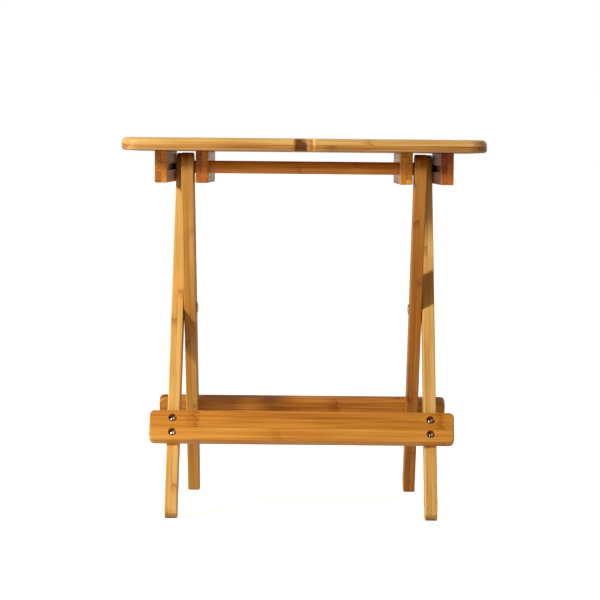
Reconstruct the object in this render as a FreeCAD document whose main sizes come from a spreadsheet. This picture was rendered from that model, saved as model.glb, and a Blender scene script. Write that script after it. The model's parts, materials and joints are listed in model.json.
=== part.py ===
"""Folding tray table: a small laminated-wood top on a scissor frame.

Frame of the part: millimetres, +Z up, origin on the floor under the middle of the table.
The front of the table is the -Y side, and right is +X.

The two outer legs stand on their feet at the front and carry slide pins at their rear tops. The two
inner legs stand at the back and hang on a round rod that passes through the inner cleats at the front.
The pairs cross at a bolted pivot. As they close, each slide pin runs forward in a groove of its outer
cleat until it is in line with the rod.
"""
import FreeCAD, Part
import Sketcher
import math
import os

Vector = FreeCAD.Vector
Rotation = FreeCAD.Rotation
Placement = FreeCAD.Placement

# Driving dimensions in millimetres: one spreadsheet cell each.
SIZES = (
    # overall
    ("table_height", 505),
    ("top_width", 480),
    ("top_depth", 374),
    # tabletop
    ("top_thick", 17),
    ("top_corner_radius", 24),
    ("top_upper_round", 6.5),
    ("top_lower_round", 4),
    ("notch_width", 21.6),
    ("notch_depth", 15),
    ("notch_mouth_radius", 4),
    # cleats under the top, one pair outside and one pair inside the legs
    ("cleat_thick", 17),
    ("cleat_height", 43),
    ("cleat_side_inset", 41),
    ("cleat_end_inset", 61),
    ("cleat_corner_radius", 2),
    ("cleat_arris_round", 1.5),
    ("groove_depth", 5),
    ("slide_clearance", 0.3),
    ("pin_end_gap", 0.5),
    # legs
    ("leg_thick", 16.5),
    ("leg_width", 38),
    ("leg_gap", 1),
    ("outer_cleat_gap", 1),
    ("inner_cleat_gap", 2.5),
    ("leg_arris_round", 1.5),
    ("foot_reach", 155.2),
    ("toe_radius", 14),
    # hinge rod and slide pins at the tops of the legs
    ("hinge_from_cleat_end", 15),
    ("rod_diameter", 17),
    ("rod_socket_depth", 6),
    ("rod_end_chamfer", 0.5),
    ("slide_pin_diameter", 8),
    ("slide_pin_seat", 12),
    # scissor pivot
    ("pivot_head_diameter", 15),
    ("pivot_bolt_head_thick", 2.4),
    ("pivot_bolt_recess", 3.2),
    ("pivot_nut_head_thick", 2),
    ("pivot_barrel_diameter", 8),
    ("pivot_shank_diameter", 6),
    ("pivot_thread_engagement", 20),
    ("pivot_end_gap", 0.8),
    ("pivot_washer_diameter", 18),
    ("pivot_washer_clearance", 0.2),
    ("head_running_gap", 0.3),
    # rails
    ("rail_overhang", 23),
    ("rail_height", 43),
    ("rail_thick", 16),
    ("rail_corner_radius", 7),
    ("rail_arris_round", 2),
    ("rail_above_foot", 120.8),
    # wood screws, all of one head and shank
    ("screw_head_diameter", 7.8),
    ("screw_head_thick", 3),
    ("screw_shank_diameter", 4),
    ("screw_tip_length", 4),
    ("screw_drive_across", 4),
    ("screw_drive_depth", 1.8),
    ("counterbore_diameter", 11),
    ("rail_counterbore_depth", 6),
    ("rail_screw_spread", 10.3),
    ("rail_screw_length", 30),
    ("cleat_counterbore_depth", 14),
    ("cleat_screw_from_hinge", 41),
    ("cleat_screw_into_top", 11),
    ("rod_counterbore_depth", 3.5),
    ("rod_screw_length", 30),
    # fits
    ("running_clearance", 0.08),
    ("seat_clearance", 0.05),
    ("hole_end_gap", 1),
)

document = FreeCAD.newDocument("folding_tray_table")
sheet = document.addObject("Spreadsheet::Sheet", "sizes")
for row, (alias, number) in enumerate(SIZES, start=1):
    sheet.set(f"A{row}", str(number))
    sheet.setAlias(f"A{row}", alias)
document.recompute()

# Places that follow from the driving dimensions, as expressions over the sheet.
HALF_LEG = "(sizes.leg_thick / 2)"
HALF_CLEAT = "(sizes.cleat_thick / 2)"
OUTER_CLEAT_X = f"(sizes.top_width / 2 - sizes.cleat_side_inset - {HALF_CLEAT})"
OUTER_LEG_X = f"({OUTER_CLEAT_X} - {HALF_CLEAT} - sizes.outer_cleat_gap - {HALF_LEG})"
INNER_LEG_X = f"({OUTER_LEG_X} - sizes.leg_thick - sizes.leg_gap)"
INNER_CLEAT_X = f"({INNER_LEG_X} - {HALF_LEG} - sizes.inner_cleat_gap - {HALF_CLEAT})"
UNDERSIDE = "(sizes.table_height - sizes.top_thick)"
AXIS_HEIGHT = f"({UNDERSIDE} - sizes.cleat_height / 2)"
HALF_CLEAT_LENGTH = "(sizes.top_depth / 2 - sizes.cleat_end_inset)"
HINGE_REACH = f"({HALF_CLEAT_LENGTH} - sizes.hinge_from_cleat_end)"
PIVOT_HEIGHT = f"({AXIS_HEIGHT} * sizes.foot_reach / (sizes.foot_reach + {HINGE_REACH}))"
LEAN = f"atan(sizes.foot_reach / {PIVOT_HEIGHT})"
UPPER_ARM = f"({HINGE_REACH} / sin({LEAN}))"
LOWER_ARM = f"(sizes.foot_reach / sin({LEAN}))"
RAIL_MIDDLE = f"(sizes.rail_above_foot - {LOWER_ARM})"
RAIL_LENGTH = f"(2 * ({OUTER_LEG_X} + {HALF_LEG} + sizes.rail_overhang))"
RAIL_OUTER_FACE = "(sizes.leg_width / 2 + sizes.rail_thick)"
CLEAT_SCREW_Y = f"({HINGE_REACH} - sizes.cleat_screw_from_hinge)"
SCREW_HOLE_RADIUS = "(sizes.screw_shank_diameter / 2 + sizes.seat_clearance)"
SCREW_HEAD_RADIUS = "(sizes.screw_head_diameter / 2)"
COUNTERBORE_RADIUS = "(sizes.counterbore_diameter / 2)"
SIDES = (("left", -1), ("right", 1))


def value(text):
    """The plain number, in millimetres or degrees, that an expression over the sheet gives."""
    result = sheet.evalExpression(text)
    return getattr(result, "Value", result)


def bind(feature, **expressions):
    """Tie properties of a feature to expressions over the sheet."""
    for name, text in expressions.items():
        feature.setExpression(name, text)


def place_at(feature, x="0", y="0", z="0"):
    """Tie a feature's position to expressions over the sheet."""
    for name, text in (("x", x), ("y", y), ("z", z)):
        feature.setExpression(f"Placement.Base.{name}", text)


def turned(direction):
    """The rotation that takes a tool's own +Z to a direction."""
    return Rotation(Vector(0, 0, 1), Vector(*direction))


# ---------------------------------------------------------------- PartDesign helpers

def new_body(label):
    body = document.addObject("PartDesign::Body", label)
    body.Label = label
    return body


def new_sketch(body, name, role):
    """A sketch on one of the body's own origin planes."""
    sketch = body.newObject("Sketcher::SketchObject", name)
    plane = next(item for item in body.Origin.OriginFeatures if item.Role == role)
    sketch.AttachmentSupport = (plane, [""])
    sketch.MapMode = "FlatFace"
    return sketch


def hold(sketch, edge, end, x=None, y=None):
    """Fix one point of a sketch edge at coordinates tied to the sheet."""
    for kind, axis, text in (("DistanceX", -2, x), ("DistanceY", -1, y)):
        if text is None:
            continue
        amount = value(text)
        if abs(amount) < 1e-9:
            sketch.addConstraint(Sketcher.Constraint("PointOnObject", edge, end, axis))
        elif amount > 0:
            index = sketch.addConstraint(Sketcher.Constraint(kind, -1, 1, edge, end, amount))
            sketch.setExpression(f"Constraints[{index}]", text)
        else:
            index = sketch.addConstraint(Sketcher.Constraint(kind, edge, end, -1, 1, -amount))
            sketch.setExpression(f"Constraints[{index}]", f"-({text})")


def flat_point(x, y):
    return Vector(value(x), value(y), 0)


def draw_polygon(sketch, corners):
    """A closed outline of straight edges, each corner given as two expressions."""
    count = len(corners)
    first = sketch.GeometryCount
    for index in range(count):
        start = flat_point(*corners[index])
        end = flat_point(*corners[(index + 1) % count])
        sketch.addGeometry(Part.LineSegment(start, end))
    for index in range(count):
        following = first + (index + 1) % count
        sketch.addConstraint(Sketcher.Constraint("Coincident", first + index, 2, following, 1))
    for index, (x, y) in enumerate(corners):
        hold(sketch, first + index, 1, x, y)


def draw_rectangle(sketch, x_low, y_low, x_high, y_high):
    corners = ((x_low, y_low), (x_high, y_low), (x_high, y_high), (x_low, y_high))
    draw_polygon(sketch, corners)


def draw_circle(sketch, x, y, radius):
    edge = sketch.addGeometry(Part.Circle(flat_point(x, y), Vector(0, 0, 1), value(radius)))
    hold(sketch, edge, 3, x, y)
    index = sketch.addConstraint(Sketcher.Constraint("Radius", edge, value(radius)))
    sketch.setExpression(f"Constraints[{index}]", radius)


def pad(body, sketch, length, symmetric=True):
    """Raise a sketch into a solid, either both ways or along the sketch's normal."""
    feature = body.newObject("PartDesign::Pad", f"{sketch.Name}_pad")
    feature.Profile = sketch
    feature.SideType = "Symmetric" if symmetric else "One side"
    bind(feature, Length=length)
    document.recompute()
    return feature


def require_cut(body, before, name):
    """A cut that leaves the volume as it was has missed the solid."""
    document.recompute()
    if body.Shape.Volume > before - 1e-3:
        raise RuntimeError(f"{body.Label}: {name} removed nothing")


def drill(body, name, radius, depth, at, direction):
    """A round flat-bottomed hole that starts at a point and runs along a direction."""
    before = body.Shape.Volume
    tool = body.newObject("PartDesign::SubtractiveCylinder", f"{body.Label}_{name}")
    bind(tool, Radius=radius, Height=depth)
    tool.Placement = Placement(Vector(), turned(direction))
    place_at(tool, *at)
    require_cut(body, before, name)


def mill(body, name, size, at):
    """A box-shaped cut with its low corner at a point."""
    before = body.Shape.Volume
    tool = body.newObject("PartDesign::SubtractiveBox", f"{body.Label}_{name}")
    bind(tool, Length=size[0], Width=size[1], Height=size[2])
    place_at(tool, *at)
    require_cut(body, before, name)


def round_edges(body, name, radius, wanted):
    """Fillet the edges of the body that a test picks."""
    base = body.Tip
    names = [f"Edge{index}" for index, edge in enumerate(base.Shape.Edges, start=1) if wanted(edge)]
    feature = body.newObject("PartDesign::Fillet", f"{body.Label}_{name}")
    feature.Base = (base, names)
    bind(feature, Radius=radius)
    document.recompute()


def edge_points(edge):
    return [edge.valueAt(edge.FirstParameter + share * (edge.LastParameter - edge.FirstParameter))
            for share in (0.0, 0.3, 0.7, 1.0)]


def lies_at(axis, *places):
    """A test for edges that lie wholly in a plane across an axis, at one of some places."""
    def wanted(edge):
        return any(all(abs(getattr(point, axis) - place) < 1e-4 for point in edge_points(edge))
                   for place in places)
    return wanted


def runs_along(axis, **at):
    """A test for straight edges along an axis, at given sizes of the other coordinates."""
    def wanted(edge):
        start, *_, end = edge_points(edge)
        along = abs(getattr(end - start, axis))
        if abs(along - edge.Length) > 1e-6:
            return False
        return all(abs(abs(getattr(start, name)) - place) < 1e-4 for name, place in at.items())
    return wanted


# ---------------------------------------------------------------- turned parts from primitives

def turned_part(label, steps, bore=None, drive=None):
    """A turned part along its own +Z: round steps fused, less a bore or a hexagon socket.

    Each step is (first radius, second radius, start, length); bore is (radius, start, length) and
    drive is (distance across the corners, start, depth).
    """
    pieces = []
    for index, (first, second, start, length) in enumerate(steps):
        if first == second:
            step = document.addObject("Part::Cylinder", f"{label}_step_{index}")
            bind(step, Radius=first, Height=length)
        else:
            step = document.addObject("Part::Cone", f"{label}_step_{index}")
            bind(step, Radius1=first, Radius2=second, Height=length)
        if start != "0":
            place_at(step, z=start)
        pieces.append(step)
    whole = pieces[0]
    if len(pieces) > 1:
        whole = document.addObject("Part::MultiFuse", f"{label}_fused")
        whole.Shapes = pieces
        whole.Refine = True
    for hollow in (bore, drive):
        if hollow is None:
            continue
        if hollow is bore:
            tool = document.addObject("Part::Cylinder", f"{label}_bore")
            bind(tool, Radius=hollow[0], Height=hollow[2])
        else:
            tool = document.addObject("Part::Prism", f"{label}_drive")
            tool.Polygon = 6
            bind(tool, Circumradius=f"{hollow[0]} / 2", Height=hollow[2])
        place_at(tool, z=hollow[1])
        cut = document.addObject("Part::Cut", f"{label}_cut")
        cut.Base = whole
        cut.Tool = tool
        whole = cut
    whole.Label = label
    return whole


def set_place(feature, at, direction):
    """Put a turned part's own origin at a point, with its +Z along a direction."""
    feature.Placement = Placement(Vector(*at), turned(direction))


def screw(label, length, at, direction):
    """A wood screw: the underside of its head is at a point and its shank runs along a direction."""
    shank = "sizes.screw_shank_diameter / 2"
    tip_start = f"({length} - sizes.screw_tip_length)"
    steps = (
        (SCREW_HEAD_RADIUS, SCREW_HEAD_RADIUS, "-sizes.screw_head_thick", "sizes.screw_head_thick"),
        (shank, shank, "0", tip_start),
        (shank, f"{shank} / 4", tip_start, "sizes.screw_tip_length"),
    )
    drive = ("sizes.screw_drive_across", "-sizes.screw_head_thick", "sizes.screw_drive_depth")
    feature = turned_part(label, steps, drive=drive)
    set_place(feature, at, direction)
    return feature


def group(label, pieces):
    """Several alike solids as one sub-part."""
    feature = document.addObject("Part::Compound", label)
    feature.Links = pieces
    feature.Label = label
    return feature


# ---------------------------------------------------------------- the leg frames
# A leg frame has its origin on the scissor pivot's axis, +Z along the part's +X, and +Y up the leg.
# turn is +1 for the outer legs, whose feet are at the front, and -1 for the inner ones.

def leg_rotation(turn):
    lean = math.radians(value(LEAN)) * turn
    up_leg = Vector(0, math.sin(lean), math.cos(lean))
    return Rotation(up_leg.cross(Vector(1, 0, 0)), up_leg, Vector(1, 0, 0), "ZYX")


def leg_placement(turn, x=0.0):
    return Placement(Vector(x, 0, value(PIVOT_HEIGHT)), leg_rotation(turn))


def in_leg_frame(turn, x, y, z):
    """A point of a leg frame, in the part's frame."""
    return tuple(leg_placement(turn).multVec(Vector(x, y, z)))


def leg_direction(turn, x, y, z):
    return tuple(leg_rotation(turn).multVec(Vector(x, y, z)))


# ---------------------------------------------------------------- top

def make_tabletop():
    """The top: a rounded slab with a small notch in the middle of its front edge."""
    body = new_body("tabletop")
    half_width = "sizes.top_width / 2"
    half_depth = "sizes.top_depth / 2"
    sketch = new_sketch(body, "tabletop_outline", "XY_Plane")
    draw_rectangle(sketch, f"-{half_width}", f"-{half_depth}", half_width, half_depth)
    pad(body, sketch, "sizes.top_thick", symmetric=False)
    round_edges(body, "corners", "sizes.top_corner_radius", runs_along("z"))
    top_plane = lies_at("z", value("sizes.top_thick"))
    round_edges(body, "upper_round", "sizes.top_upper_round", top_plane)
    round_edges(body, "lower_round", "sizes.top_lower_round", lies_at("z", 0.0))
    cut_notch(body)
    for x_place in (OUTER_CLEAT_X, INNER_CLEAT_X):
        for side, x_sign in SIDES:
            for end, y_sign in (("front", -1), ("rear", 1)):
                at = (f"{x_sign} * {x_place}", f"{y_sign} * {CLEAT_SCREW_Y}", "0")
                kind = "outer" if x_place == OUTER_CLEAT_X else "inner"
                drill(body, f"{kind}_{side}_{end}_hole", SCREW_HOLE_RADIUS,
                      "(sizes.cleat_screw_into_top + sizes.hole_end_gap)", at, (0, 0, 1))
    place_at(body, z=UNDERSIDE)
    return body


def cut_notch(body):
    """A notch with a half-round back and rounded mouth, right through the slab."""
    half = "sizes.notch_width / 2"
    mouth = "(sizes.notch_width / 2 + sizes.notch_mouth_radius)"
    front = "-sizes.top_depth / 2"
    outside = "(-sizes.top_depth / 2 - sizes.notch_mouth_radius)"
    mouth_end = "(-sizes.top_depth / 2 + sizes.notch_mouth_radius)"
    back_centre = "(-sizes.top_depth / 2 + sizes.notch_depth - sizes.notch_width / 2)"
    sketch = new_sketch(body, "notch_outline", "XY_Plane")
    lines = (
        ((f"-{half}", mouth_end), (f"-{half}", back_centre)),
        ((half, back_centre), (half, mouth_end)),
        ((mouth, front), (mouth, outside)),
        ((mouth, outside), (f"-{mouth}", outside)),
        ((f"-{mouth}", outside), (f"-{mouth}", front)),
    )
    for start, end in lines:
        sketch.addGeometry(Part.LineSegment(flat_point(*start), flat_point(*end)))
    for edge in (2, 3):
        sketch.addConstraint(Sketcher.Constraint("Coincident", edge, 2, edge + 1, 1))
    for edge, (start, end) in enumerate(lines):
        hold(sketch, edge, 1, *start)
        if edge not in (2, 3):
            hold(sketch, edge, 2, *end)
    # each arc runs between two line ends: (centre, radius, first and last angle, its two line ends)
    arcs = (
        ("0", back_centre, half, 0, 180, (1, 1), (0, 2)),
        (f"-{mouth}", mouth_end, "sizes.notch_mouth_radius", -90, 0, (4, 2), (0, 1)),
        (mouth, mouth_end, "sizes.notch_mouth_radius", 180, 270, (1, 2), (2, 1)),
    )
    for x, y, radius, low, high, first, last in arcs:
        circle = Part.Circle(flat_point(x, y), Vector(0, 0, 1), value(radius))
        arc = Part.ArcOfCircle(circle, math.radians(low), math.radians(high))
        edge = sketch.addGeometry(arc)
        sketch.addConstraint(Sketcher.Constraint("Coincident", edge, 1, *first))
        sketch.addConstraint(Sketcher.Constraint("Coincident", edge, 2, *last))
        hold(sketch, edge, 3, y=y)
    before = body.Shape.Volume
    feature = body.newObject("PartDesign::Pocket", "notch")
    feature.Profile = sketch
    feature.Type = "ThroughAll"
    feature.Reversed = True
    require_cut(body, before, "notch")


def make_cleat(label, side, x_place, is_outer):
    """A cleat in its own frame, centred, with its length along Y."""
    body = new_body(label)
    half_height = "sizes.cleat_height / 2"
    sketch = new_sketch(body, f"{label}_outline", "YZ_Plane")
    draw_rectangle(sketch, f"-{HALF_CLEAT_LENGTH}", f"-{half_height}", HALF_CLEAT_LENGTH, half_height)
    pad(body, sketch, "sizes.cleat_thick")
    lower_corners = runs_along("x", y=value(HALF_CLEAT_LENGTH))
    bottom = -value(half_height)
    round_edges(body, "end_corners", "sizes.cleat_corner_radius",
                lambda edge: lower_corners(edge) and edge_points(edge)[0].z < bottom + 1e-4)
    flanks = lies_at("x", value(HALF_CLEAT), -value(HALF_CLEAT))
    top_side = lies_at("z", value(half_height))
    round_edges(body, "arrises", "sizes.cleat_arris_round",
                lambda edge: flanks(edge) and not top_side(edge))
    for end, y_sign in (("front", -1), ("rear", 1)):
        at = ("0", f"{y_sign} * {CLEAT_SCREW_Y}", f"-{half_height}")
        drill(body, f"{end}_counterbore", COUNTERBORE_RADIUS, "sizes.cleat_counterbore_depth", at, (0, 0, 1))
        drill(body, f"{end}_screw_hole", SCREW_HOLE_RADIUS, "sizes.cleat_height", at, (0, 0, 1))
    if is_outer:
        cut_groove(body, side)
    else:
        drill(body, "rod_bore", "(sizes.rod_diameter / 2 + sizes.running_clearance)", "sizes.cleat_thick",
              (f"-{HALF_CLEAT}", f"-{HINGE_REACH}", "0"), (1, 0, 0))
    place_at(body, x=f"{side} * {x_place}", z=AXIS_HEIGHT)
    return body


def cut_groove(body, side):
    """The slide pin's groove: along the cleat's inner face, round at both ends."""
    half_width = "(sizes.slide_pin_diameter / 2 + sizes.slide_clearance)"
    floor = HALF_CLEAT if side < 0 else f"-{HALF_CLEAT}"
    low_x = f"{HALF_CLEAT} - sizes.groove_depth" if side < 0 else floor
    mill(body, "groove", ("sizes.groove_depth", f"2 * {HINGE_REACH}", f"2 * {half_width}"),
         (low_x, f"-{HINGE_REACH}", f"-{half_width}"))
    for end, y_sign in (("front", -1), ("rear", 1)):
        drill(body, f"groove_{end}_end", half_width, "sizes.groove_depth",
              (floor, f"{y_sign} * {HINGE_REACH}", "0"), (side, 0, 0))


def make_cleat_screws(label, x_place):
    """Screws that hold a pair of cleats, driven up into the top."""
    length = "(sizes.cleat_height - sizes.cleat_counterbore_depth + sizes.cleat_screw_into_top)"
    seat_height = value(f"{UNDERSIDE} - sizes.cleat_height + sizes.cleat_counterbore_depth")
    pieces = []
    for side, x_sign in SIDES:
        for end, y_sign in (("front", -1), ("rear", 1)):
            at = (x_sign * value(x_place), y_sign * value(CLEAT_SCREW_Y), seat_height)
            pieces.append(screw(f"{label}_{side}_{end}", length, at, (0, 0, 1)))
    return group(label, pieces)


# ---------------------------------------------------------------- legs and what they carry

def make_leg(label, turn, side, x_place):
    """A leg: straight, round at the top, cut level at the floor, with a rounded toe."""
    body = new_body(label)
    half_width = "(sizes.leg_width / 2)"
    long_end = f"-({LOWER_ARM} + {half_width} * tan({LEAN}))"
    short_end = f"-({LOWER_ARM} - {half_width} * tan({LEAN}))"
    low_left, low_right = (long_end, short_end) if turn > 0 else (short_end, long_end)
    outline = new_sketch(body, f"{label}_outline", "XY_Plane")
    corners = ((f"-{half_width}", low_left), (half_width, low_right),
               (half_width, UPPER_ARM), (f"-{half_width}", UPPER_ARM))
    draw_polygon(outline, corners)
    pad(body, outline, "sizes.leg_thick")
    top_end = new_sketch(body, f"{label}_top_end", "XY_Plane")
    draw_circle(top_end, "0", UPPER_ARM, half_width)
    pad(body, top_end, "sizes.leg_thick")
    toe = runs_along("z", x=value(half_width), y=-value(long_end))
    round_edges(body, "toe", "sizes.toe_radius", toe)
    round_edges(body, "arrises", "sizes.leg_arris_round", lies_at("z", value(HALF_LEG), -value(HALF_LEG)))
    drill_rail_holes(body, turn)
    if turn > 0:
        finish_outer_leg(body, side)
    else:
        finish_inner_leg(body, side)
    body.Placement = leg_placement(turn, side * value(x_place))
    return body


def drill_rail_holes(body, turn):
    """Pilot holes for the rail's two screws, in the face that the rail lies against."""
    depth = ("(sizes.rail_screw_length + sizes.rail_counterbore_depth"
             " - sizes.rail_thick + sizes.hole_end_gap)")
    for name, y_sign in (("lower", -1), ("upper", 1)):
        at = (f"{-turn} * sizes.leg_width / 2", f"{RAIL_MIDDLE} + {y_sign} * sizes.rail_screw_spread", "0")
        drill(body, f"{name}_rail_screw_hole", SCREW_HOLE_RADIUS, depth, at, (turn, 0, 0))


def finish_outer_leg(body, side):
    """Holes of an outer leg: the bolt head's recess, the barrel's hole and the slide pin's seat."""
    outer_face = f"{side} * {HALF_LEG}"
    inward = (0, 0, -side)
    drill(body, "bolt_recess", "(sizes.pivot_head_diameter / 2 + sizes.head_running_gap)",
          "sizes.pivot_bolt_recess", ("0", "0", outer_face), inward)
    drill(body, "barrel_hole", "(sizes.pivot_barrel_diameter / 2 + sizes.seat_clearance)",
          "sizes.leg_thick", ("0", "0", outer_face), inward)
    drill(body, "slide_pin_seat", "(sizes.slide_pin_diameter / 2 + sizes.seat_clearance)",
          "sizes.slide_pin_seat", ("0", UPPER_ARM, outer_face), inward)


def finish_inner_leg(body, side):
    """Holes of an inner leg: the pivot bore, the rod's socket and its screw's counterbore."""
    outer_face = f"{side} * {HALF_LEG}"
    inner_face = f"{-side} * {HALF_LEG}"
    inward = (0, 0, -side)
    outward = (0, 0, side)
    drill(body, "pivot_bore", "(sizes.pivot_barrel_diameter / 2 + sizes.running_clearance)",
          "sizes.leg_thick", ("0", "0", outer_face), inward)
    drill(body, "rod_socket", "(sizes.rod_diameter / 2 + sizes.seat_clearance)",
          "sizes.rod_socket_depth", ("0", UPPER_ARM, inner_face), outward)
    drill(body, "rod_screw_counterbore", f"({SCREW_HEAD_RADIUS} + sizes.head_running_gap)",
          "sizes.rod_counterbore_depth", ("0", UPPER_ARM, outer_face), inward)
    drill(body, "rod_screw_hole", SCREW_HOLE_RADIUS, "sizes.leg_thick",
          ("0", UPPER_ARM, outer_face), inward)


def make_hinge_rod():
    """The rod that the inner cleats turn on, held in sockets of the inner legs."""
    body = new_body("hinge_rod")
    half_length = f"({INNER_LEG_X} - {HALF_LEG} + sizes.rod_socket_depth)"
    sketch = new_sketch(body, "hinge_rod_section", "YZ_Plane")
    draw_circle(sketch, "0", "0", "sizes.rod_diameter / 2")
    pad(body, sketch, f"2 * {half_length}")
    ends = lies_at("x", value(half_length), -value(half_length))
    rod = body.Tip
    names = [f"Edge{index}" for index, edge in enumerate(rod.Shape.Edges, start=1) if ends(edge)]
    chamfer = body.newObject("PartDesign::Chamfer", "hinge_rod_ends")
    chamfer.Base = (rod, names)
    bind(chamfer, Size="sizes.rod_end_chamfer")
    document.recompute()
    wall_left = "(sizes.leg_thick - sizes.rod_socket_depth - sizes.rod_counterbore_depth)"
    for side, x_sign in SIDES:
        drill(body, f"{side}_pilot_hole", SCREW_HOLE_RADIUS,
              f"(sizes.rod_screw_length - {wall_left} + sizes.hole_end_gap)",
              (f"{x_sign} * {half_length}", "0", "0"), (-x_sign, 0, 0))
    place_at(body, y=f"-{HINGE_REACH}", z=AXIS_HEIGHT)
    return body


def make_rod_screw(side_name, side):
    """A screw through the inner leg into the rod's end."""
    seat = side * value(f"{INNER_LEG_X} + {HALF_LEG} - sizes.rod_counterbore_depth")
    at = (seat, -value(HINGE_REACH), value(AXIS_HEIGHT))
    return screw(f"hinge_rod_screw_{side_name}", "sizes.rod_screw_length", at, (-side, 0, 0))


def make_slide_pin(side_name, side):
    """A steel pin in the outer leg's top that runs in the outer cleat's groove."""
    label = f"slide_pin_{side_name}"
    radius = "sizes.slide_pin_diameter / 2"
    length = ("(sizes.slide_pin_seat + sizes.outer_cleat_gap + sizes.groove_depth"
              " - sizes.pin_end_gap)")
    pin = turned_part(label, ((radius, radius, "0", length),))
    seat = side * value(f"{OUTER_LEG_X} + {HALF_LEG} - sizes.slide_pin_seat")
    set_place(pin, (seat, value(HINGE_REACH), value(AXIS_HEIGHT)), (side, 0, 0))
    return pin


# ---------------------------------------------------------------- scissor pivots

def make_pivot(side_name, side):
    """Bolt, barrel nut and spacing washer of one scissor pivot, all along X."""
    head = "sizes.pivot_head_diameter / 2"
    shank = "sizes.pivot_shank_diameter / 2"
    barrel = "sizes.pivot_barrel_diameter / 2"
    drive_across = "sizes.screw_drive_across"
    drive_depth = "sizes.screw_drive_depth - sizes.pin_end_gap"
    height = value(PIVOT_HEIGHT)
    bolt = turned_part(
        f"pivot_bolt_{side_name}",
        ((head, head, "-sizes.pivot_bolt_head_thick", "sizes.pivot_bolt_head_thick"),
         (shank, shank, "0", "(sizes.pivot_thread_engagement + sizes.pivot_end_gap)")),
        drive=(drive_across, "-sizes.pivot_bolt_head_thick", drive_depth))
    bolt_seat = side * value(f"{OUTER_LEG_X} + {HALF_LEG} - sizes.pivot_bolt_recess")
    set_place(bolt, (bolt_seat, 0, height), (-side, 0, 0))

    barrel_length = (f"(2 * sizes.leg_thick + sizes.leg_gap + sizes.head_running_gap"
                     f" - sizes.pivot_bolt_recess - sizes.pivot_end_gap)")
    bore_length = "(sizes.pivot_thread_engagement + sizes.hole_end_gap)"
    nut = turned_part(
        f"pivot_nut_{side_name}",
        ((head, head, "-sizes.pivot_nut_head_thick", "sizes.pivot_nut_head_thick"),
         (barrel, barrel, "0", barrel_length)),
        bore=(f"({shank} + sizes.seat_clearance)", f"{barrel_length} - {bore_length}", bore_length))
    nut_seat = side * value(f"{INNER_LEG_X} - {HALF_LEG} - sizes.head_running_gap")
    set_place(nut, (nut_seat, 0, height), (side, 0, 0))

    washer = turned_part(
        f"pivot_washer_{side_name}",
        (("sizes.pivot_washer_diameter / 2", "sizes.pivot_washer_diameter / 2", "0",
          "(sizes.leg_gap - sizes.pivot_washer_clearance)"),),
        bore=(f"({barrel} + sizes.running_clearance)", "0", "sizes.leg_gap"))
    washer_seat = side * value(f"{OUTER_LEG_X} - {HALF_LEG}")
    set_place(washer, (washer_seat, 0, height), (-side, 0, 0))
    return [bolt, nut, washer]


# ---------------------------------------------------------------- rails

def make_rail(label, turn, x_place):
    """A rail across a pair of legs, on their outward faces, with counterbored screw holes."""
    body = new_body(label)
    faces = ("sizes.leg_width / 2", RAIL_OUTER_FACE)
    x_low, x_high = (f"-{faces[1]}", f"-{faces[0]}") if turn > 0 else faces
    sketch = new_sketch(body, f"{label}_section", "XY_Plane")
    half_height = "sizes.rail_height / 2"
    low = f"({RAIL_MIDDLE} - {half_height})"
    high = f"({RAIL_MIDDLE} + {half_height})"
    draw_rectangle(sketch, x_low, low, x_high, high)
    pad(body, sketch, RAIL_LENGTH)
    round_edges(body, "corners", "sizes.rail_corner_radius", runs_along("x", z=value(RAIL_LENGTH) / 2))
    outer_face = lies_at("x", -turn * value(RAIL_OUTER_FACE))
    round_edges(body, "arrises", "sizes.rail_arris_round", outer_face)
    for side, z_sign in SIDES:
        for name, y_sign in (("lower", -1), ("upper", 1)):
            at = (f"{-turn} * {RAIL_OUTER_FACE}",
                  f"{RAIL_MIDDLE} + {y_sign} * sizes.rail_screw_spread", f"{z_sign} * {x_place}")
            drill(body, f"{side}_{name}_counterbore", COUNTERBORE_RADIUS,
                  "sizes.rail_counterbore_depth", at, (turn, 0, 0))
            drill(body, f"{side}_{name}_hole", SCREW_HOLE_RADIUS, "sizes.rail_thick", at, (turn, 0, 0))
    body.Placement = leg_placement(turn)
    return body


def make_rail_screws(label, turn, side_name, side, x_place):
    """The two screws of one end of a rail."""
    seat = -turn * value(f"{RAIL_OUTER_FACE} - sizes.rail_counterbore_depth")
    pieces = []
    for name, y_sign in (("lower", -1), ("upper", 1)):
        along = value(RAIL_MIDDLE) + y_sign * value("sizes.rail_screw_spread")
        at = in_leg_frame(turn, seat, along, side * value(x_place))
        direction = leg_direction(turn, turn, 0, 0)
        pieces.append(screw(f"{label}_{side_name}_{name}", "sizes.rail_screw_length", at, direction))
    return group(f"{label}_{side_name}", pieces)


# ---------------------------------------------------------------- assembly

sub_parts = [make_tabletop()]
for side_name, side in SIDES:
    sub_parts.append(make_cleat(f"outer_cleat_{side_name}", side, OUTER_CLEAT_X, True))
    sub_parts.append(make_cleat(f"inner_cleat_{side_name}", side, INNER_CLEAT_X, False))
    sub_parts.append(make_leg(f"outer_leg_{side_name}", 1, side, OUTER_LEG_X))
    sub_parts.append(make_leg(f"inner_leg_{side_name}", -1, side, INNER_LEG_X))
    sub_parts.append(make_slide_pin(side_name, side))
    sub_parts.append(make_rod_screw(side_name, side))
    sub_parts.extend(make_pivot(side_name, side))
    sub_parts.append(make_rail_screws("front_rail_screws", 1, side_name, side, OUTER_LEG_X))
    sub_parts.append(make_rail_screws("rear_rail_screws", -1, side_name, side, INNER_LEG_X))
sub_parts.append(make_cleat_screws("outer_cleat_screws", OUTER_CLEAT_X))
sub_parts.append(make_cleat_screws("inner_cleat_screws", INNER_CLEAT_X))
sub_parts.append(make_hinge_rod())
sub_parts.append(make_rail("front_rail", 1, OUTER_LEG_X))
sub_parts.append(make_rail("rear_rail", -1, INNER_LEG_X))
document.recompute()

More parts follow.
